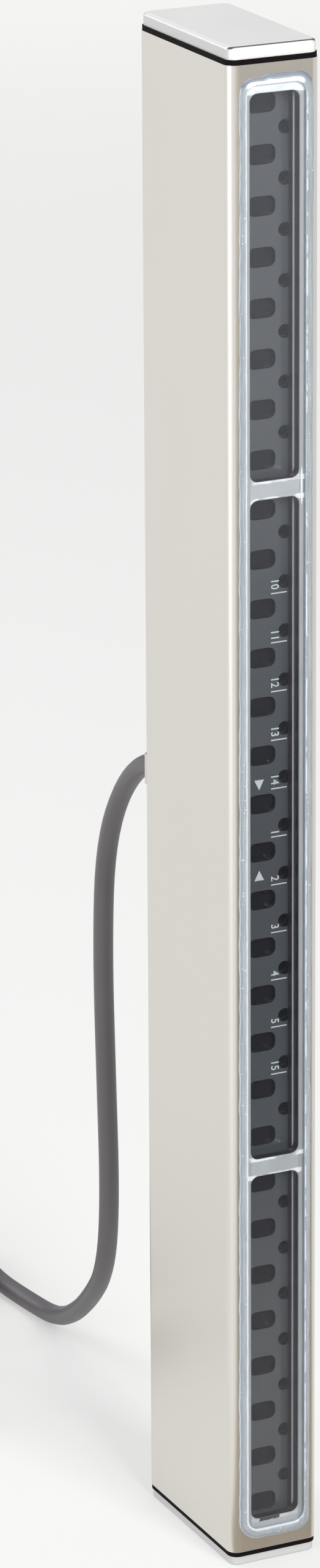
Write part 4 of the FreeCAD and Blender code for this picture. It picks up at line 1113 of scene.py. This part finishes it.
@dataclass
class Studio:
    """The pale floor, the soft lamps, the world and the camera."""

    camera_stand: Point = (-0.51558, -1.04815, 0.55507)
    camera_right: Point = (0.90173641, -0.43224667, -0.00585315)
    camera_up: Point = (0.14318022, 0.2858666, 0.94751238)
    camera_forward: Point = (0.40788585, 0.85524447, -0.31966549)
    lens: float = 142.73
    floor_half: float = 30.0
    floor_tone: Colour = (0.80, 0.80, 0.79)
    floor_white: Colour = (0.93, 0.93, 0.92)
    white_from: tuple[float, float] = (0.1, 3.0)
    card_outline: tuple = ((-0.03, -0.0205), (-0.4, -2.6), (2.0, -2.6),
                           (0.9, -0.75), (0.1, -0.045), (0.012, -0.0205))
    card_level: float = 0.001
    card_changes: tuple = ((-0.04, -0.3), (-0.42, -0.8))
    card_near: Colour = (0.33, 0.285, 0.225)
    card_middle: Colour = (0.04, 0.035, 0.032)
    card_far: Colour = (0.25, 0.22, 0.18)
    sky: Colour = (0.92, 0.95, 1.0)
    sky_strength: float = 0.27
    lamps: tuple[Lamp, ...] = (
        Lamp("key_lamp", (-0.95, 1.1, 0.9), (-0.1, 0.1, 0.0), (0.8, 0.8), 10.3, (0.97, 0.985, 1.0)),
        Lamp("edge_lamp", (-1.18, -0.48, 0.3), (0.0, 0.0, 0.16), (0.42, 0.6), 3.8),
        Lamp("front_lamp", (0.1, -1.7, 1.2), (0.0, 0.0, 0.16), (0.8, 0.8), 36.0,
             (1.0, 0.995, 0.985)),
        Lamp("top_lamp", (0.2, 0.3, 1.6), (0.0, 0.0, 0.2), (2.2, 2.2), 12.0, (1.0, 0.985, 0.96)),
    )

    def floor(self) -> None:
        """A pale floor, which camera, metal and glass see whiter than the lamps make it.

        It keeps the object's shadow nearby, and is all white further away.
        """
        h = self.floor_half
        shader = Shader("floor_paper")
        tone = shader.mottle(shader.noise(0.6), self.floor_tone, 0.01)
        paper = shader.principled({"Base Color": tone, "Roughness": 0.9, "Specular IOR Level": 0.1})
        rays = shader.node("ShaderNodeLightPath").outputs
        kinds = ("Is Camera Ray", "Is Glossy Ray", "Is Transmission Ray")
        camera, gloss, glass = (Field(shader, rays[kind]) for kind in kinds)
        x, y, _ = shader.axes()
        share = (x * x + y * y).rise(*self.white_from) * 0.5 + 0.5
        share = (camera + gloss + glass).lesser(1.0) * share
        white = shader.node("ShaderNodeEmission", None, {"Color": self.floor_white})
        surface = shader.finish(shader.blend(share, paper, white))
        corners = [(-h, -h, 0), (h, -h, 0), (h, h, 0), (-h, h, 0)]
        new_mesh("floor", corners, [range(4)], surface)

    def card(self) -> None:
        """A dark card on the floor in front, which only reflections see.

        It is darkest in its middle, so that the windows are darkest halfway up.
        """
        shader = Shader("card_paper")
        y = shader.axes()[1]
        near = shader.mix(y.rise(*self.card_changes[0]), self.card_near, self.card_middle)
        tone = shader.mix(y.rise(*self.card_changes[1]), near, self.card_far)
        paper = shader.finish(shader.principled({"Base Color": tone, "Roughness": 0.9}))
        points = [(*point, self.card_level) for point in self.card_outline]
        piece = new_mesh("card", points, [range(len(points))], paper)
        piece.visible_camera = piece.visible_diffuse = piece.visible_shadow = False

    def world(self) -> None:
        """An even pale sky."""
        sky = bpy.data.worlds.new("sky")
        sky.use_nodes = True
        background = sky.node_tree.nodes["Background"]
        background.inputs["Color"].default_value = (*self.sky, 1.0)
        background.inputs["Strength"].default_value = self.sky_strength
        bpy.context.scene.world = sky

    def camera(self) -> None:
        """The camera, at the photograph's angle: its axes are right, up and backwards."""
        data = bpy.data.cameras.new("camera")
        data.sensor_width = 36.0
        data.lens = self.lens
        data.clip_start, data.clip_end = 0.05, 50.0
        holder = place("camera", data)
        axes = np.array([self.camera_right, self.camera_up, tint(self.camera_forward, -1.0)]).T
        turn = Matrix(axes.tolist()).to_quaternion().to_matrix().to_4x4()
        holder.matrix_world = Matrix.Translation(self.camera_stand) @ turn
        bpy.context.scene.camera = holder

    def build(self) -> None:
        """Makes the stage, the lamps and the camera."""
        self.floor()
        self.card()
        self.world()
        for lamp in self.lamps:
            lamp.build()
        self.camera()
        bpy.context.scene.view_settings.view_transform = "Standard"


def main() -> None:
    """Builds the sub-assemblies in order."""
    logging.basicConfig(level=logging.INFO, format="%(message)s")
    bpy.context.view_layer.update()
    wardrobe = Wardrobe()
    kinds = (Housing, Window, Optics, Electronics, CableEntry, Plug, Cable)
    for assembly in [*(kind(wardrobe) for kind in kinds), Studio()]:
        log.info("-- %s", type(assembly).__name__)
        assembly.build()


if __name__ == "__main__":
    main()
